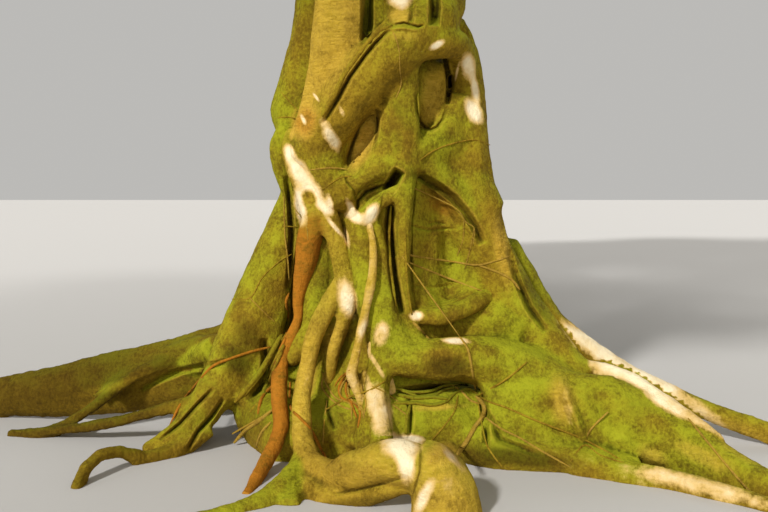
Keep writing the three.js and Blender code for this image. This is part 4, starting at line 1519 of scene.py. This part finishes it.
class Kin:
    """Which packed node lies nearest to each point, and how coarse its facets are there."""

    def __init__(self, names: Sequence[str], nodes: dict[str, Item]) -> None:
        """Gather the nodes' facets.

        Args:
            names: The nodes to look at.
            nodes: Every node by its name.
        """
        corners, faces, owners, count = [], [], [], 0
        for number, name in enumerate(names):
            points = Bench.points(nodes[name])
            triangles = Bench.read(nodes[name].data.loops, "vertex_index", kind=np.int32).reshape(-1, 3)
            corners.append(points)
            faces.append(triangles + count)
            owners.append(np.full(len(triangles), number))
            count += len(points)
        self.names = list(names)
        self.owners = np.concatenate(owners)
        vertices = np.concatenate(corners)
        triangles = np.concatenate(faces)
        sides = [vertices[triangles[:, k]] - vertices[triangles[:, k - 1]] for k in range(3)]
        longest = np.max([np.linalg.norm(side, axis=1) for side in sides], axis=0)
        doubled_area = np.linalg.norm(np.cross(sides[0], sides[1]), axis=1)
        self.widths = doubled_area / np.maximum(longest, 1e-6)
        self.tree = BVHTree.FromPolygons(vertices.tolist(), triangles.tolist())

    def nearest(self, points: Points) -> Points:
        """Return the number of the nearest facet for each point."""
        return np.array([self.tree.find_nearest(point)[2] for point in points.tolist()])


@dataclass(frozen=True)
class Relief:
    """One layer of relief pushed into the bark."""

    size: float
    strength: float
    stretch: float = 1.0
    octaves: int = 3

    def press(self, target: Item) -> None:
        """Push the layer into an object's mesh.

        Args:
            target: The object.
        """
        texture = bpy.data.textures.new("relief", "CLOUDS")
        texture.noise_scale = self.size
        texture.noise_depth = self.octaves
        guide = bpy.data.objects.new("guide", None)
        guide.scale = (1.0, 1.0, self.stretch)
        bpy.context.scene.collection.objects.link(guide)
        bpy.context.view_layer.update()
        Bench.modify(
            target,
            "DISPLACE",
            texture=texture,
            texture_coords="OBJECT",
            texture_coords_object=guide,
            strength=self.strength,
            mid_level=0.5,
        )
        bpy.data.objects.remove(guide)
        bpy.data.textures.remove(texture)


BARK_RELIEF = (Relief(0.30, 0.024), Relief(0.06, 0.010, 5.0), Relief(0.02, 0.004, 1.5))


@dataclass
class Skin:
    """Wood made from overlapping limbs: joined, filleted and smoothed."""

    voxel: float
    fillet: float
    smoothing: float = 0.38  # reach of the smoothing as a share of the facets' width
    passes: int = 90

    def grow(self, limbs: Sequence[Item], kin: Kin | None, name: str) -> Item:
        """Make one skin from limbs.

        Args:
            limbs: Closed objects that may overlap.
            kin: The facets that say how much to smooth, if there are any.
            name: The skin's name.

        Returns:
            The skin.
        """
        skin = Bench.join(limbs, name)
        self.remesh(skin)
        Bench.modify(skin, "DISPLACE", strength=self.fillet, mid_level=0.0)
        self.remesh(skin)
        if kin:
            widths = kin.widths[kin.nearest(Bench.points(skin))]
            spread = 2 * (self.smoothing * widths / self.voxel) ** 2 / self.passes
            soft = Bench.group(skin, "soft", spread)
            Bench.modify(skin, "SMOOTH", factor=1.0, iterations=self.passes, vertex_group=soft)
        Bench.modify(skin, "SMOOTH", factor=0.5, iterations=4)
        Bench.modify(skin, "DISPLACE", strength=-self.fillet, mid_level=0.0)
        Bench.modify(skin, "SMOOTH", factor=0.5, iterations=3)
        return skin

    def remesh(self, target: Item) -> None:
        """Rebuild an object's mesh from even voxels."""
        Bench.modify(target, "REMESH", mode="VOXEL", voxel_size=self.voxel)


class Dresser:
    """Works the bark's surface where the reference view shows something, and paints it."""

    def __init__(self, view: ReferenceView) -> None:
        """Keep the view that grooves and spots are placed by."""
        self.view = view

    def carve(self, target: Item, grooves: Sequence[Groove]) -> None:
        """Press grooves and raise ridges along their paths.

        Args:
            target: The object.
            grooves: What is pressed in or raised.
        """
        points = Bench.points(target)
        pixels = self.view.pixels(points)
        shown = self.view.in_view(target)
        rays = points - np.array(CAMERA_PLACE)
        rays /= np.linalg.norm(rays, axis=1)[:, None]
        push = np.zeros(len(points))
        for groove in grooves:
            near = np.flatnonzero(shown & (self.gap(pixels, groove.path)[0] < groove.half))
            gap, along = self.gap(pixels[near], groove.path)
            ends = np.clip(4 * along, 0, 1) * np.clip(4 * (1 - along), 0, 1)
            push[near] += groove.deep * (1 - (gap / groove.half) ** groove.edge) ** 2 * np.sqrt(ends)
        Bench.move(target, points + rays * push[:, None])

    @staticmethod
    def gap(pixels: Points, path: Sequence[Pixel]) -> tuple[Points, Points]:
        """Measure how far pixels lie from a path.

        Args:
            pixels: Rows of column and row.
            path: The path's corners.

        Returns:
            Each pixel's distance, and how far along the path it lies, from 0 to 1.
        """
        least = np.full(len(pixels), np.inf)
        along_path = np.zeros(len(pixels))
        for piece, (first, second) in enumerate(zip(path, path[1:])):
            start = np.array(first, float)
            along = np.array(second, float) - start
            share = np.clip((pixels - start) @ along / (along @ along), 0, 1)
            gap = np.linalg.norm(pixels - start - share[:, None] * along, axis=1)
            along_path = np.where(gap < least, (piece + share) / (len(path) - 1), along_path)
            least = np.minimum(least, gap)
        return least, along_path

    def hollow(self, target: Item) -> None:
        """Store how far each vertex lies in a crease, over a short and a long distance.

        Args:
            target: The object.
        """
        points = Bench.points(target)
        edges = Bench.edges(target)
        normals = Bench.normals(target)
        # The bark darkens by these as painted shade in the creases
        for name, times, depth in CREASES:
            drift = Bench.neighbours_mean(edges, points, times) - points
            Bench.attribute(target, name, np.clip(np.sum(drift * normals, axis=1) / depth, -1, 1))

    def tint(self, target: Item, kin: Kin) -> None:
        """Store the tints of the nearest roots, blended over their borders, and the spots.

        Args:
            target: The object.
            kin: The facets of the roots.
        """
        points = Bench.points(target)
        table = np.array([list(vars(TINTS.get(name, PLAIN_TINT)).values()) for name in kin.names])
        values = table[kin.owners[kin.nearest(points)]]
        values = Bench.neighbours_mean(Bench.edges(target), values, TINT_ROUNDS)
        pixels = self.view.pixels(points)
        seen = self.view.in_view(target).astype(float)
        for column, kind in enumerate(vars(PLAIN_TINT)):
            for row in SPOTS.get(kind, ()):
                spot = Spot(*row)
                values[:, column] += (spot.strength - values[:, column]) * spot.inside(pixels) * seen
            Bench.attribute(target, kind, values[:, column])


@dataclass
class Wood:
    """The trunk, its roots and its boughs."""

    nodes: dict[str, Item]
    masses: list[Mass]
    dresser: Dresser
    bark: bpy.types.Material
    foot_voxel: float = 0.012
    front_voxel: float = 0.008
    crown_voxel: float = 0.02
    foot_fillet: float = 0.013
    front_fillet: float = 0.006
    crown_fillet: float = 0.025
    form_sides: int = 18
    form_steps: int = 6
    bough_sides: int = 12
    trace_sides: int = 7
    trace_steps: int = 6
    trace_tip: float = 0.55  # how thin a small root starts and ends, as a share of its radius
    trace_taper: float = 0.15  # how much thicker it is with each further point
    trace_proud: float = 0.3  # how far its middle stands out of the wood, as a share of its radius
    top_share: float = 0.45  # share of the faces of the upper trunk and the boughs that stay
    far_share: float = 0.2  # share of the foot's faces that stay where the reference view doesn't reach
    piece_triangles: int = 190_000

    def build(self) -> None:
        """Make the foot, the upper trunk with the boughs, and the roots in front."""
        roots = [n for n in self.nodes if not n.startswith(("foliage", "bough"))]
        fused = [n for n in roots if n not in FRONT_NODES]
        tall = [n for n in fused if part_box(n)[1].z > FOOT_TOP + CARRIED_ON]
        boughs = [n for n in self.nodes if n.startswith("bough")]
        kin = Kin(fused, self.nodes)
        front, front_kin = self.front()
        self.foot(fused, front)
        self.top(tall, boughs, kin)
        self.register(front, front_kin, FRONT_NODES, Slot.TAN)

    def clipped(self, names: Sequence[str], height: float, above: bool) -> list[Item]:
        """Copy nodes and cut the copies at a height.

        Args:
            names: The nodes.
            height: Where they are cut.
            above: Whether what lies above is kept.

        Returns:
            The copies.
        """
        copies = []
        for name in names:
            low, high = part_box(name)
            if (above and high.z < height) or (not above and low.z > height):
                continue
            copy = Bench.copy_of(self.nodes[name], f"{name}_copy")
            if low.z < height < high.z:
                Bench.cut(copy, Vector((0, 0, height)), Vector((0, 0, -1 if above else 1)))
            copies.append(copy)
        return copies

    def limbs_of(self, forms: Sequence[Form]) -> dict[str, Item]:
        """Make a limb for each form.

        Args:
            forms: The forms.

        Returns:
            The limbs by their names.
        """
        limbs = {}
        for form in forms:
            tubes = Tubes(self.form_sides)
            tubes.add(*self.dresser.view.tube(form.rows, self.form_steps))
            limbs[form.name] = tubes.make(form.name)
        return limbs

    def foot(self, fused: Sequence[str], front: Item) -> None:
        """Make the foot of the trunk with its roots.

        Args:
            fused: The nodes that it is made from.
            front: The roots that lie in front of it.
        """
        forms = self.limbs_of(FORMS)
        kin = Kin([*fused, *forms], {**self.nodes, **forms})
        limbs = self.clipped(fused, FOOT_TOP + OVERLAP, above=False)
        for limb in limbs:
            points = Bench.points(limb)
            points[points[:, 2] < AT_GROUND, 2] = -BELOW_GROUND
            Bench.move(limb, points)
        skin = Skin(self.foot_voxel, self.foot_fillet).grow([*limbs, *forms.values()], kin, "foot")
        view = self.dresser.view
        Bench.refine(skin, view.in_view(skin))
        Bench.modify(skin, "SMOOTH", factor=0.5, iterations=2)
        for layer in BARK_RELIEF:
            layer.press(skin)
        self.traces((skin, front))
        self.dresser.carve(skin, GROOVES)
        self.dresser.hollow(skin)
        unseen = 1 - view.in_view(skin).astype(float)
        far = Bench.group(skin, "far", unseen)
        share = 1 - (1 - self.far_share) * float(unseen.mean())
        Bench.modify(skin, "DECIMATE", ratio=share, vertex_group=far, vertex_group_factor=2.0)
        Bench.cut(skin, Vector((0, 0, 0)), Vector((0, 0, -1)))
        Bench.cut(skin, Vector((0, 0, FOOT_TOP)), Vector((0, 0, 1)))
        self.register(skin, kin, fused, Slot.MOSSY)

    def front(self) -> tuple[Item, Kin]:
        """Make the roots in front, which lie on the rest with crisp creases between.

        Returns:
            Their skin, and their facets.
        """
        forms = self.limbs_of(FRONT_ROOTS)
        kin = Kin(list(forms), forms)
        skin = Skin(self.front_voxel, self.front_fillet).grow(list(forms.values()), None, "front_roots")
        for layer in BARK_RELIEF:
            layer.press(skin)
        self.dresser.carve(skin, FRONT_GROOVES)
        self.dresser.hollow(skin)
        Bench.cut(skin, Vector((0, 0, 0)), Vector((0, 0, -1)))
        return skin, kin

    def traces(self, skins: Sequence[Item]) -> None:
        """Lay the small roots and vines on the skins.

        Args:
            skins: The wood that carries them.
        """
        bpy.context.view_layer.update()
        trees = [BVHTree.FromObject(skin, bpy.context.evaluated_depsgraph_get()) for skin in skins]
        finishes = {
            # The small mossy roots take a darker bright moss as painted shade
            "mossy": BarkFinish("mossy_root_in_painted_shade", mossiness=0.3, moss_bright=(0.2, 0.2, 0.01, 1.0)),
            "tan": BarkFinish("tan_root", tanness=0.6, mossiness=-0.4, tan=(0.46, 0.28, 0.05, 1.0)),
            "red": BarkFinish("red_root_bark", redness=0.9, mossiness=-0.6),
            "dark": BarkFinish("dark_root", mossiness=-0.2, tanness=0.2),
        }
        for kind, finish in finishes.items():
            tubes = Tubes(self.trace_sides)
            for trace in TRACES[kind]:
                path, depth = self.laid(trace, trees)
                from_end = np.minimum(range(len(path)), range(len(path))[::-1])
                shares = np.minimum(1, self.trace_tip + from_end * self.trace_taper)
                tubes.add(path, trace.radius * depth / FOCAL_PIXELS * shares)
            self.finish_piece(tubes.make(f"small_roots_{kind}"), finish.material(), Slot.TAN)

    def laid(self, trace: Trace, trees: Sequence[BVHTree]) -> tuple[list[Vector], float]:
        """Lay a small root on the wood.

        Args:
            trace: The root.
            trees: The wood's surfaces.

        Returns:
            Its points, and its middle depth in the view.
        """
        view = self.dresser.view
        flat = smooth_path([Vector((*pixel, 0)) for pixel in trace.path], self.trace_steps * len(trace.path))
        depths = []
        for at in flat:
            hits = [tree.ray_cast(CAMERA_PLACE, view.ray((at.x, at.y)))[0] for tree in trees]
            found = [(hit - CAMERA_PLACE).dot(view.forward) for hit in hits if hit]
            depths.append(min(found, default=np.nan))
        known = np.flatnonzero(~np.isnan(depths))
        depths = np.interp(range(len(flat)), known, np.array(depths)[known])
        if trace.taut:
            depths = np.linspace(depths[0], depths[-1], len(flat))
        else:
            padded = np.pad(depths, 2, mode="edge")
            depths = np.mean([padded[k : k + len(flat)] for k in range(5)], axis=0)
        middle = float(np.mean(depths))
        lift = self.trace_proud * trace.radius * middle / FOCAL_PIXELS
        points = [view.point((at.x, at.y), depth - lift) for at, depth in zip(flat, depths)]
        for point in points:
            point.z = max(point.z, ABOVE_GROUND)
        return points, middle

    def finish_piece(self, piece: Item, material: bpy.types.Material, slot: Slot) -> None:
        """Give a piece its bark and hand it to the frame.

        Args:
            piece: The piece.
            material: Its bark.
            slot: Its material slot; not used.
        """
        piece.data.materials.append(material)
        Bench.only(piece)
        bpy.ops.object.shade_smooth()
        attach(piece, BODY)
        LOG.info("%s: %d faces", piece.name, len(piece.data.polygons))

    def register(self, piece: Item, kin: Kin, replaced: Sequence[str], slot: Slot) -> None:
        """Dress a skin, part it where it has too many triangles, and hand the parts to the frame.

        Args:
            piece: The whole skin.
            kin: The facets that tint it.
            replaced: The nodes that it stands for.
            slot: Its material slot.
        """
        self.dresser.tint(piece, kin)
        piece.vertex_groups.clear()
        for part in self.parted(piece):
            self.finish_piece(part, self.bark, slot)
            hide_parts(*replaced)

    def parted(self, piece: Item) -> list[Item]:
        """Split a piece at upright planes until each part has few enough triangles.

        Args:
            piece: The piece.

        Returns:
            The parts.
        """
        mesh = piece.data
        triangles = len(mesh.loops) - 2 * len(mesh.polygons)
        if triangles < self.piece_triangles:
            return [piece]
        centres = Bench.read(mesh.polygons, "center", 3)
        axis = int(np.argmax(np.ptp(centres, axis=0)))
        beyond = centres[:, axis] > np.median(centres[:, axis])
        Bench.with_faces(piece, beyond, lambda: bpy.ops.mesh.separate(type="SELECTED"))
        other = next(one for one in bpy.context.selected_objects if one is not piece)
        other.name = f"{piece.name}_b"
        return self.parted(piece) + self.parted(other)

    def top(self, tall: Sequence[str], boughs: Sequence[str], kin: Kin) -> None:
        """Make the upper trunk and the boughs.

        Args:
            tall: The nodes that reach above the foot.
            boughs: The boughs' nodes.
            kin: The facets of the trunk and the roots.
        """
        limbs = self.clipped(tall, FOOT_TOP - OVERLAP, above=True)
        tubes = Tubes(self.bough_sides)
        for mass in self.masses:
            tubes.add(*mass.bough_line())
        limbs.append(tubes.make("bough_tubes"))
        skin = Skin(self.crown_voxel, self.crown_fillet).grow(limbs, kin, "upper_trunk_and_boughs")
        for layer in BARK_RELIEF:
            layer.press(skin)
        self.dresser.hollow(skin)
        Bench.modify(skin, "DECIMATE", ratio=self.top_share)
        Bench.cut(skin, Vector((0, 0, FOOT_TOP)), Vector((0, 0, -1)))
        self.register(skin, kin, [*tall, *boughs], Slot.MOSSY)


@dataclass(frozen=True)
class Shoots:
    """One order of shoots in a mass of foliage: how many, how far out they end, and how thick they are."""

    count: int
    low: float
    high: float
    radius: float
    tip_radius: float
    sides: int
    rings: int
    rise: float  # how far the shoot bows upwards, as a share of its length


@dataclass
class Crown:
    """Every mass of foliage: shoots by the solids' rule, carried on to finer twigs with sprays of leaves."""

    masses: list[Mass]
    leaf_materials: list[bpy.types.Material]
    twig_material: bpy.types.Material
    limbs: int = 9
    limb_end: float = 0.8
    limb_radius: float = 0.028
    limb_start: float = 0.6  # where the lowest limbs leave the stem, as a share of the way to the centre
    limb_bow: float = 0.05
    limb_rings: int = 7
    stem_foot: float = 0.08  # how far down the bough a stem starts, as a share of its last stretch
    stem_rings: int = 8
    stem_fit: float = 1.04  # how much wider a stem is than the tip of the bough that it sits on
    twig_sides: int = 6
    fine_sides: int = 3
    core_draws: int = 3  # random draws that the solid's dense core takes, which has no match here
    spray_draws: int = 9  # random draws that the solid takes for the sprays of each limb
    orders: tuple[Shoots, ...] = (
        Shoots(60, 0.50, 0.80, 0.016, 0.008, 5, 5, 0.10),
        Shoots(290, 0.55, 0.93, 0.009, 0.004, 4, 4, 0.12),
    )
    reach_bias: float = 0.7  # below 1, more shoots end far out
    start_inward: float = 0.25  # how much further in, in metres, a shoot should start than it ends
    start_cost: float = 1.2  # what each metre less than that counts in the choice of its start
    sampled_from: float = 0.2  # where shoots may start to leave another one, as a share of its length
    samples_taken: int = 14
    sprays: int = 560
    leaves: int = 23
    bare_below: float = 0.45  # share of the sprays that are missing straight below
    spray_end: float = 0.97  # share of the mass's space where the outermost sprays end
    spray_range: float = 0.45  # how much less it is for the innermost ones
    spray_bias: float = 2.2  # how much more of them end far out
    longest_spray: float = 0.756
    spray_bow: float = 0.1
    spray_radii: tuple[float, float, float] = (0.005, 0.004, 0.002)
    leaf_length: float = 0.17
    leaf_width: float = 0.085
    leaf_turn: float = 2.4  # radians from one leaf of a spray to the next
    first_leaf: float = 0.15  # where the leaves of a spray start, as a share of its length
    leaf_jitter: float = 0.6  # how far a leaf may move along it, as a share of the gap between two
    apart_at_foot: float = 1.15  # how much leaves point away from the spray's twig at its foot
    apart_lost: float = 0.75  # how much less they do at its tip
    ahead_at_foot: float = 0.35  # how much they point along the twig at its foot
    ahead_gained: float = 0.9  # how much more they do at its tip
    side_hint: tuple[float, float, float] = (0.3, 0.1, 0.95)
    leaf_droop: float = 0.28
    leaf_stray: float = 0.22
    face_outward: float = 0.55  # how much leaves face away from the mass's centre
    face_up: float = 0.75  # how much they face up
    face_stray: float = 0.3
    smallest_leaf: float = 0.75
    size_range: float = 0.45
    stalk: float = 0.15  # share of a leaf's length
    tone_middle: float = 0.45
    # the greens' rise towards the top is partly painted light
    tone_rise: float = 0.3  # how much brighter the sprays on top are
    tone_stray: float = 0.28
    clear_of_boughs: float = 0.06
    proud: float = 0.15  # how far leaves may stand past the box of the solid mass

    def build(self) -> None:
        """Make the leaves and the twigs of every mass."""
        boughs = []
        for mass in self.masses:
            boughs += [(*point, radius) for point, radius in zip(*mass.bough_line())]
        for mass in self.masses:
            self.grow(mass, np.array(boughs))

    def grow(self, mass: Mass, boughs: Points) -> None:
        """Make one mass.

        Args:
            mass: The mass.
            boughs: Rows of x, y, z and radius along all boughs.
        """
        random = SeededRandom(SEED + SEED_STEP * (mass.index + 1))
        for _ in range(self.core_draws):
            random()
        twigs = Tubes(self.twig_sides)
        tip, inside = mass.bough_points()[-1], mass.bough_points()[-2]
        foot = tip.lerp(inside, self.stem_foot)
        stem = smooth_path([foot, tip, mass.centre], self.stem_rings)
        twigs.add(stem, np.linspace(BOUGH_TIP_RADIUS * self.stem_fit, self.limb_radius, self.stem_rings))
        carriers = [self.samples(stem)]
        for direction in spread_directions(self.limbs, random):
            start = tip.lerp(mass.centre, self.limb_start + (1 - self.limb_start) * random())
            for _ in range(self.spray_draws):
                random()
            end = self.reach(mass, direction, self.limb_end)
            path = self.bowed(start, end, self.limb_bow, self.limb_rings)
            twigs.add(path, np.linspace(self.limb_radius, self.limb_radius / 2, self.limb_rings))
            carriers.append(self.samples(path))
        noise = np.random.default_rng(SEED + mass.index)
        groups = [twigs]
        for order in self.orders:
            tubes = Tubes(order.sides)
            grown = []
            for direction in spread_directions(order.count, random):
                share = order.low + (order.high - order.low) * noise.random() ** self.reach_bias
                end = self.reach(mass, direction, share)
                start = self.joint(np.concatenate(carriers), end, mass)
                path = self.bowed(start, end, order.rise, order.rings)
                tubes.add(path, np.linspace(order.radius, order.tip_radius, order.rings))
                grown.append(self.samples(path))
            carriers = grown
            groups.append(tubes)
        self.dress(mass, boughs, np.concatenate(carriers), groups, random, noise)

    def dress(
        self,
        mass: Mass,
        boughs: Points,
        carriers: Points,
        groups: list[Tubes],
        random: SeededRandom,
        noise: np.random.Generator,
    ) -> None:
        """Set the sprays of leaves on a mass's finest twigs, and hand both to the frame.

        Args:
            mass: The mass.
            boughs: Rows of x, y, z and radius along all boughs.
            carriers: Points along the finest twigs.
            groups: The twigs so far.
            random: The mass's own source.
            noise: A seeded generator for the many small strays.
        """
        fine = Tubes(self.fine_sides)
        leaves, tones = [], []
        for direction in spread_directions(self.sprays, random):
            if noise.random() < self.bare_below * max(0.0, -direction.z):
                continue
            depth = self.spray_end - self.spray_range * noise.random() ** self.spray_bias
            end = self.reach(mass, direction, depth)
            start = self.joint(carriers, end, mass)
            if (end - start).length > self.longest_spray:
                start = end.lerp(start, self.longest_spray / (end - start).length)
            path = self.bowed(start, end, self.spray_bow, len(self.spray_radii))
            fine.add(path, self.spray_radii)
            spray = self.spray(path, mass, noise)
            leaves.append(spray)
            tones.append(np.full(len(spray), self.tone(direction, noise)))
        corners = np.concatenate(leaves)
        tone = np.concatenate(tones)
        inside = depth_in_space(corners.reshape(-1, 3), mass, self.masses)
        inside = inside.reshape(-1, len(LEAF_OUTLINE)).max(axis=1) < 1
        low, high = (np.array(corner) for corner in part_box(f"foliage_{mass.label}"))
        inside &= np.all((corners > low - self.proud) & (corners < high + self.proud), axis=(1, 2))
        gaps = np.linalg.norm(corners[:, :1] - boughs[None, :, :3], axis=2) - boughs[None, :, 3]
        kept = inside & (gaps.min(axis=1) > self.clear_of_boughs)
        self.leaf_piece(mass, corners[kept], tone[kept])
        self.twig_piece(mass, [*groups, fine])

    def reach(self, mass: Mass, direction: Vector, share: float) -> Vector:
        """Find the point in a direction at a share of a mass's own space.

        Args:
            mass: The mass.
            direction: The direction from its centre.
            share: 0 at the centre and 1 at the border.

        Returns:
            The point.
        """
        ring = mass.ring
        out = Vector((direction.x * ring.wide, direction.y * ring.wide, direction.z * ring.high))
        depth = depth_in_space(np.array([mass.centre + out]), mass, self.masses)[0]
        return mass.centre + out * (share / depth)

    def joint(self, carriers: Points, end: Vector, mass: Mass) -> Vector:
        """Find where a shoot leaves the wood that carries it.

        Args:
            carriers: Points along that wood.
            end: Where the shoot ends.
            mass: Its mass.

        Returns:
            The point.
        """
        centre = np.array(mass.centre)
        away = np.linalg.norm(carriers - np.array(end), axis=1)
        inward = np.linalg.norm(carriers - centre, axis=1) - (end - mass.centre).length
        cost = away + self.start_cost * np.maximum(inward + self.start_inward, 0)
        return Vector(carriers[np.argmin(cost)])

    def samples(self, path: Sequence[Vector]) -> Points:
        """Sample the outer four fifths of a path.

        Args:
            path: The path.

        Returns:
            Close points along it.
        """
        line = np.array([tuple(point) for point in path])
        along = np.linspace(self.sampled_from, 1.0, self.samples_taken) * (len(line) - 1)
        return np.stack([np.interp(along, np.arange(len(line)), line[:, k]) for k in range(3)], axis=1)

    @staticmethod
    def bowed(start: Vector, end: Vector, rise: float, rings: int) -> list[Vector]:
        """Draw a path that bows upwards between two points.

        Args:
            start: Where it starts.
            end: Where it ends.
            rise: How far it bows, as a share of its length.
            rings: How many points it has.

        Returns:
            Its points.
        """
        length = (end - start).length
        path = []
        for step in range(rings):
            along = step / (rings - 1)
            lift = Vector((0, 0, rise * length * 4 * along * (1 - along)))
            path.append(start.lerp(end, along) + lift)
        return path

    def spray(self, path: Sequence[Vector], mass: Mass, noise: np.random.Generator) -> Points:
        """Set the leaves of one spray.

        Args:
            path: The twig that carries it.
            mass: Its mass.
            noise: A seeded generator.

        Returns:
            The corners of each leaf, in order round it.
        """
        count = self.leaves
        line = np.array([tuple(point) for point in path])
        steps = np.arange(count) + noise.random(count) * self.leaf_jitter
        along = self.first_leaf + (1 - self.first_leaf) * steps / count
        rings = np.arange(len(line))
        foot = np.stack([np.interp(along * rings[-1], rings, line[:, k]) for k in range(3)], axis=1)
        forward = line[-1] - line[0]
        forward /= np.linalg.norm(forward)
        outward = line[-1] - np.array(mass.centre)
        outward /= np.linalg.norm(outward)
        turn = np.arange(count) * self.leaf_turn + noise.random(count)
        side = np.cross(forward, self.side_hint)
        side /= np.linalg.norm(side)
        other = np.cross(forward, side)
        radial = np.outer(np.cos(turn), side) + np.outer(np.sin(turn), other)
        apart = (self.apart_at_foot - self.apart_lost * along)[:, None]
        ahead = (self.ahead_at_foot + self.ahead_gained * along)[:, None]
        axis = radial * apart + forward * ahead
        axis += noise.normal(0, self.leaf_stray, (count, 3)) + np.array((0, 0, -self.leaf_droop))
        axis /= np.linalg.norm(axis, axis=1)[:, None]
        face = outward * self.face_outward + np.array((0, 0, self.face_up))
        face = face + noise.normal(0, self.face_stray, (count, 3))
        face -= axis * np.sum(face * axis, axis=1)[:, None]
        face /= np.linalg.norm(face, axis=1)[:, None]
        across = np.cross(axis, face)
        size = self.smallest_leaf + self.size_range * noise.random(count)
        stalk = self.stalk * self.leaf_length
        corners = []
        for length, width, lift in LEAF_OUTLINE:
            reach = axis * ((length * self.leaf_length + stalk) * size)[:, None]
            spread = across * (width * self.leaf_width * size)[:, None]
            raised = face * (lift * self.leaf_length * size)[:, None]
            corners.append(foot + reach + spread + raised)
        return np.stack(corners, axis=1)

    def tone(self, direction: Vector, noise: np.random.Generator) -> int:
        """Choose the green of a spray, the brighter ones mostly on top and the darker ones below, partly as
        painted light and shade.

        Args:
            direction: Where it lies from the mass's centre.
            noise: A seeded generator.

        Returns:
            The green's number.
        """
        last = len(self.leaf_materials) - 1
        place_in_crown = self.tone_middle + self.tone_rise * direction.z + noise.normal(0, self.tone_stray)
        return int(round(min(max(place_in_crown, 0), 1) * last))

    def leaf_piece(self, mass: Mass, corners: Points, tones: Points) -> None:
        """Make the leaves of a mass as one mesh.

        Args:
            mass: The mass.
            corners: The corners of each leaf.
            tones: The number of each leaf's green.
        """
        first = np.arange(len(corners))[:, None] * len(LEAF_OUTLINE)
        faces = np.concatenate([first + np.array((0, 3, 2, 1)), first + np.array((0, 5, 4, 3))])
        piece = Bench.from_arrays(f"leaves_{mass.label}", corners.reshape(-1, 3), faces)
        for material in self.leaf_materials:
            piece.data.materials.append(material)
        piece.data.polygons.foreach_set("material_index", np.concatenate([tones, tones]).astype(np.int32))
        piece.data.update()
        self.register(piece, mass, Slot.FOLIAGE)

    def twig_piece(self, mass: Mass, groups: list[Tubes]) -> None:
        """Make the twigs of a mass as one mesh.

        Args:
            mass: The mass.
            groups: Its twigs.
        """
        piece = Bench.join([group.make("twigs") for group in groups], f"twigs_{mass.label}")
        piece.data.materials.append(self.twig_material)
        self.register(piece, mass, Slot.TAN)

    @staticmethod
    def register(piece: Item, mass: Mass, slot: Slot) -> None:
        """Hand a piece of a mass to the frame.

        Args:
            piece: The piece.
            mass: The mass.
            slot: Its material slot; not used.
        """
        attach(piece, BODY)
        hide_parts(f"foliage_{mass.label}")
        LOG.info("%s: %d faces", piece.name, len(piece.data.polygons))


@dataclass(frozen=True)
class Sun:
    """A distant lamp: its strength, where it stands and how soft it is, in degrees.

    Azimuth 0 is in front and 90 at the right.
    """

    name: str
    strength: float
    azimuth: float
    elevation: float
    softness: float

    def make(self) -> None:
        """Add the lamp to the scene."""
        data = bpy.data.lights.new(self.name, "SUN")
        data.energy = self.strength
        data.angle = math.radians(self.softness)
        lamp = bpy.data.objects.new(self.name, data)
        turn, rise = math.radians(self.azimuth), math.radians(self.elevation)
        towards = Vector((math.sin(turn) * math.cos(rise), -math.cos(turn) * math.cos(rise), math.sin(rise)))
        lamp.rotation_euler = towards.to_track_quat("Z", "Y").to_euler()
        bpy.context.scene.collection.objects.link(lamp)


@dataclass(frozen=True)
class Stage:
    """The floor and the light."""

    floor_size: float = 160.0
    sky: Colour = (1.0, 0.985, 0.95, 1.0)
    sky_strength: float = 0.5
    suns: tuple[Sun, ...] = (
        Sun("key", 3.4, -34, 33, 5),
        Sun("front", 0.55, 4, 12, 40),
        Sun("fill", 0.5, 140, 30, 30),
        Sun("top", 0.7, 30, 70, 20),
    )

    def build(self) -> None:
        """Make the floor, the sky light and the lamps."""
        bpy.ops.mesh.primitive_plane_add(size=self.floor_size)
        floor = bpy.context.object
        floor.name = "floor"
        floor.data.materials.append(FloorFinish().material())
        world = bpy.data.worlds.new("pale_sky")
        world.use_nodes = True
        sky = world.node_tree.nodes["Background"]
        sky.inputs["Color"].default_value = self.sky
        sky.inputs["Strength"].default_value = self.sky_strength
        bpy.context.scene.world = world
        bpy.context.scene.view_settings.view_transform = "Standard"
        for sun in self.suns:
            sun.make()


def main() -> None:
    """Build every piece round the frame."""
    logging.basicConfig(level=logging.INFO, format="%(name)s %(message)s")
    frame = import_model()
    view = ReferenceView()
    view.make_camera()
    masses = mass_places()
    Wood(frame["nodes"], masses, Dresser(view), BarkFinish("mossy_bark").material()).build()
    greens = [LeafFinish(f"leaf_green_{k + 1}", tone).material() for k, tone in enumerate(LEAF_GREENS)]
    Crown(masses, greens, BarkFinish("twig_bark", tanness=0.6, mossiness=-0.5).material()).build()
    Stage().build()


if __name__ == "__main__":
    main()
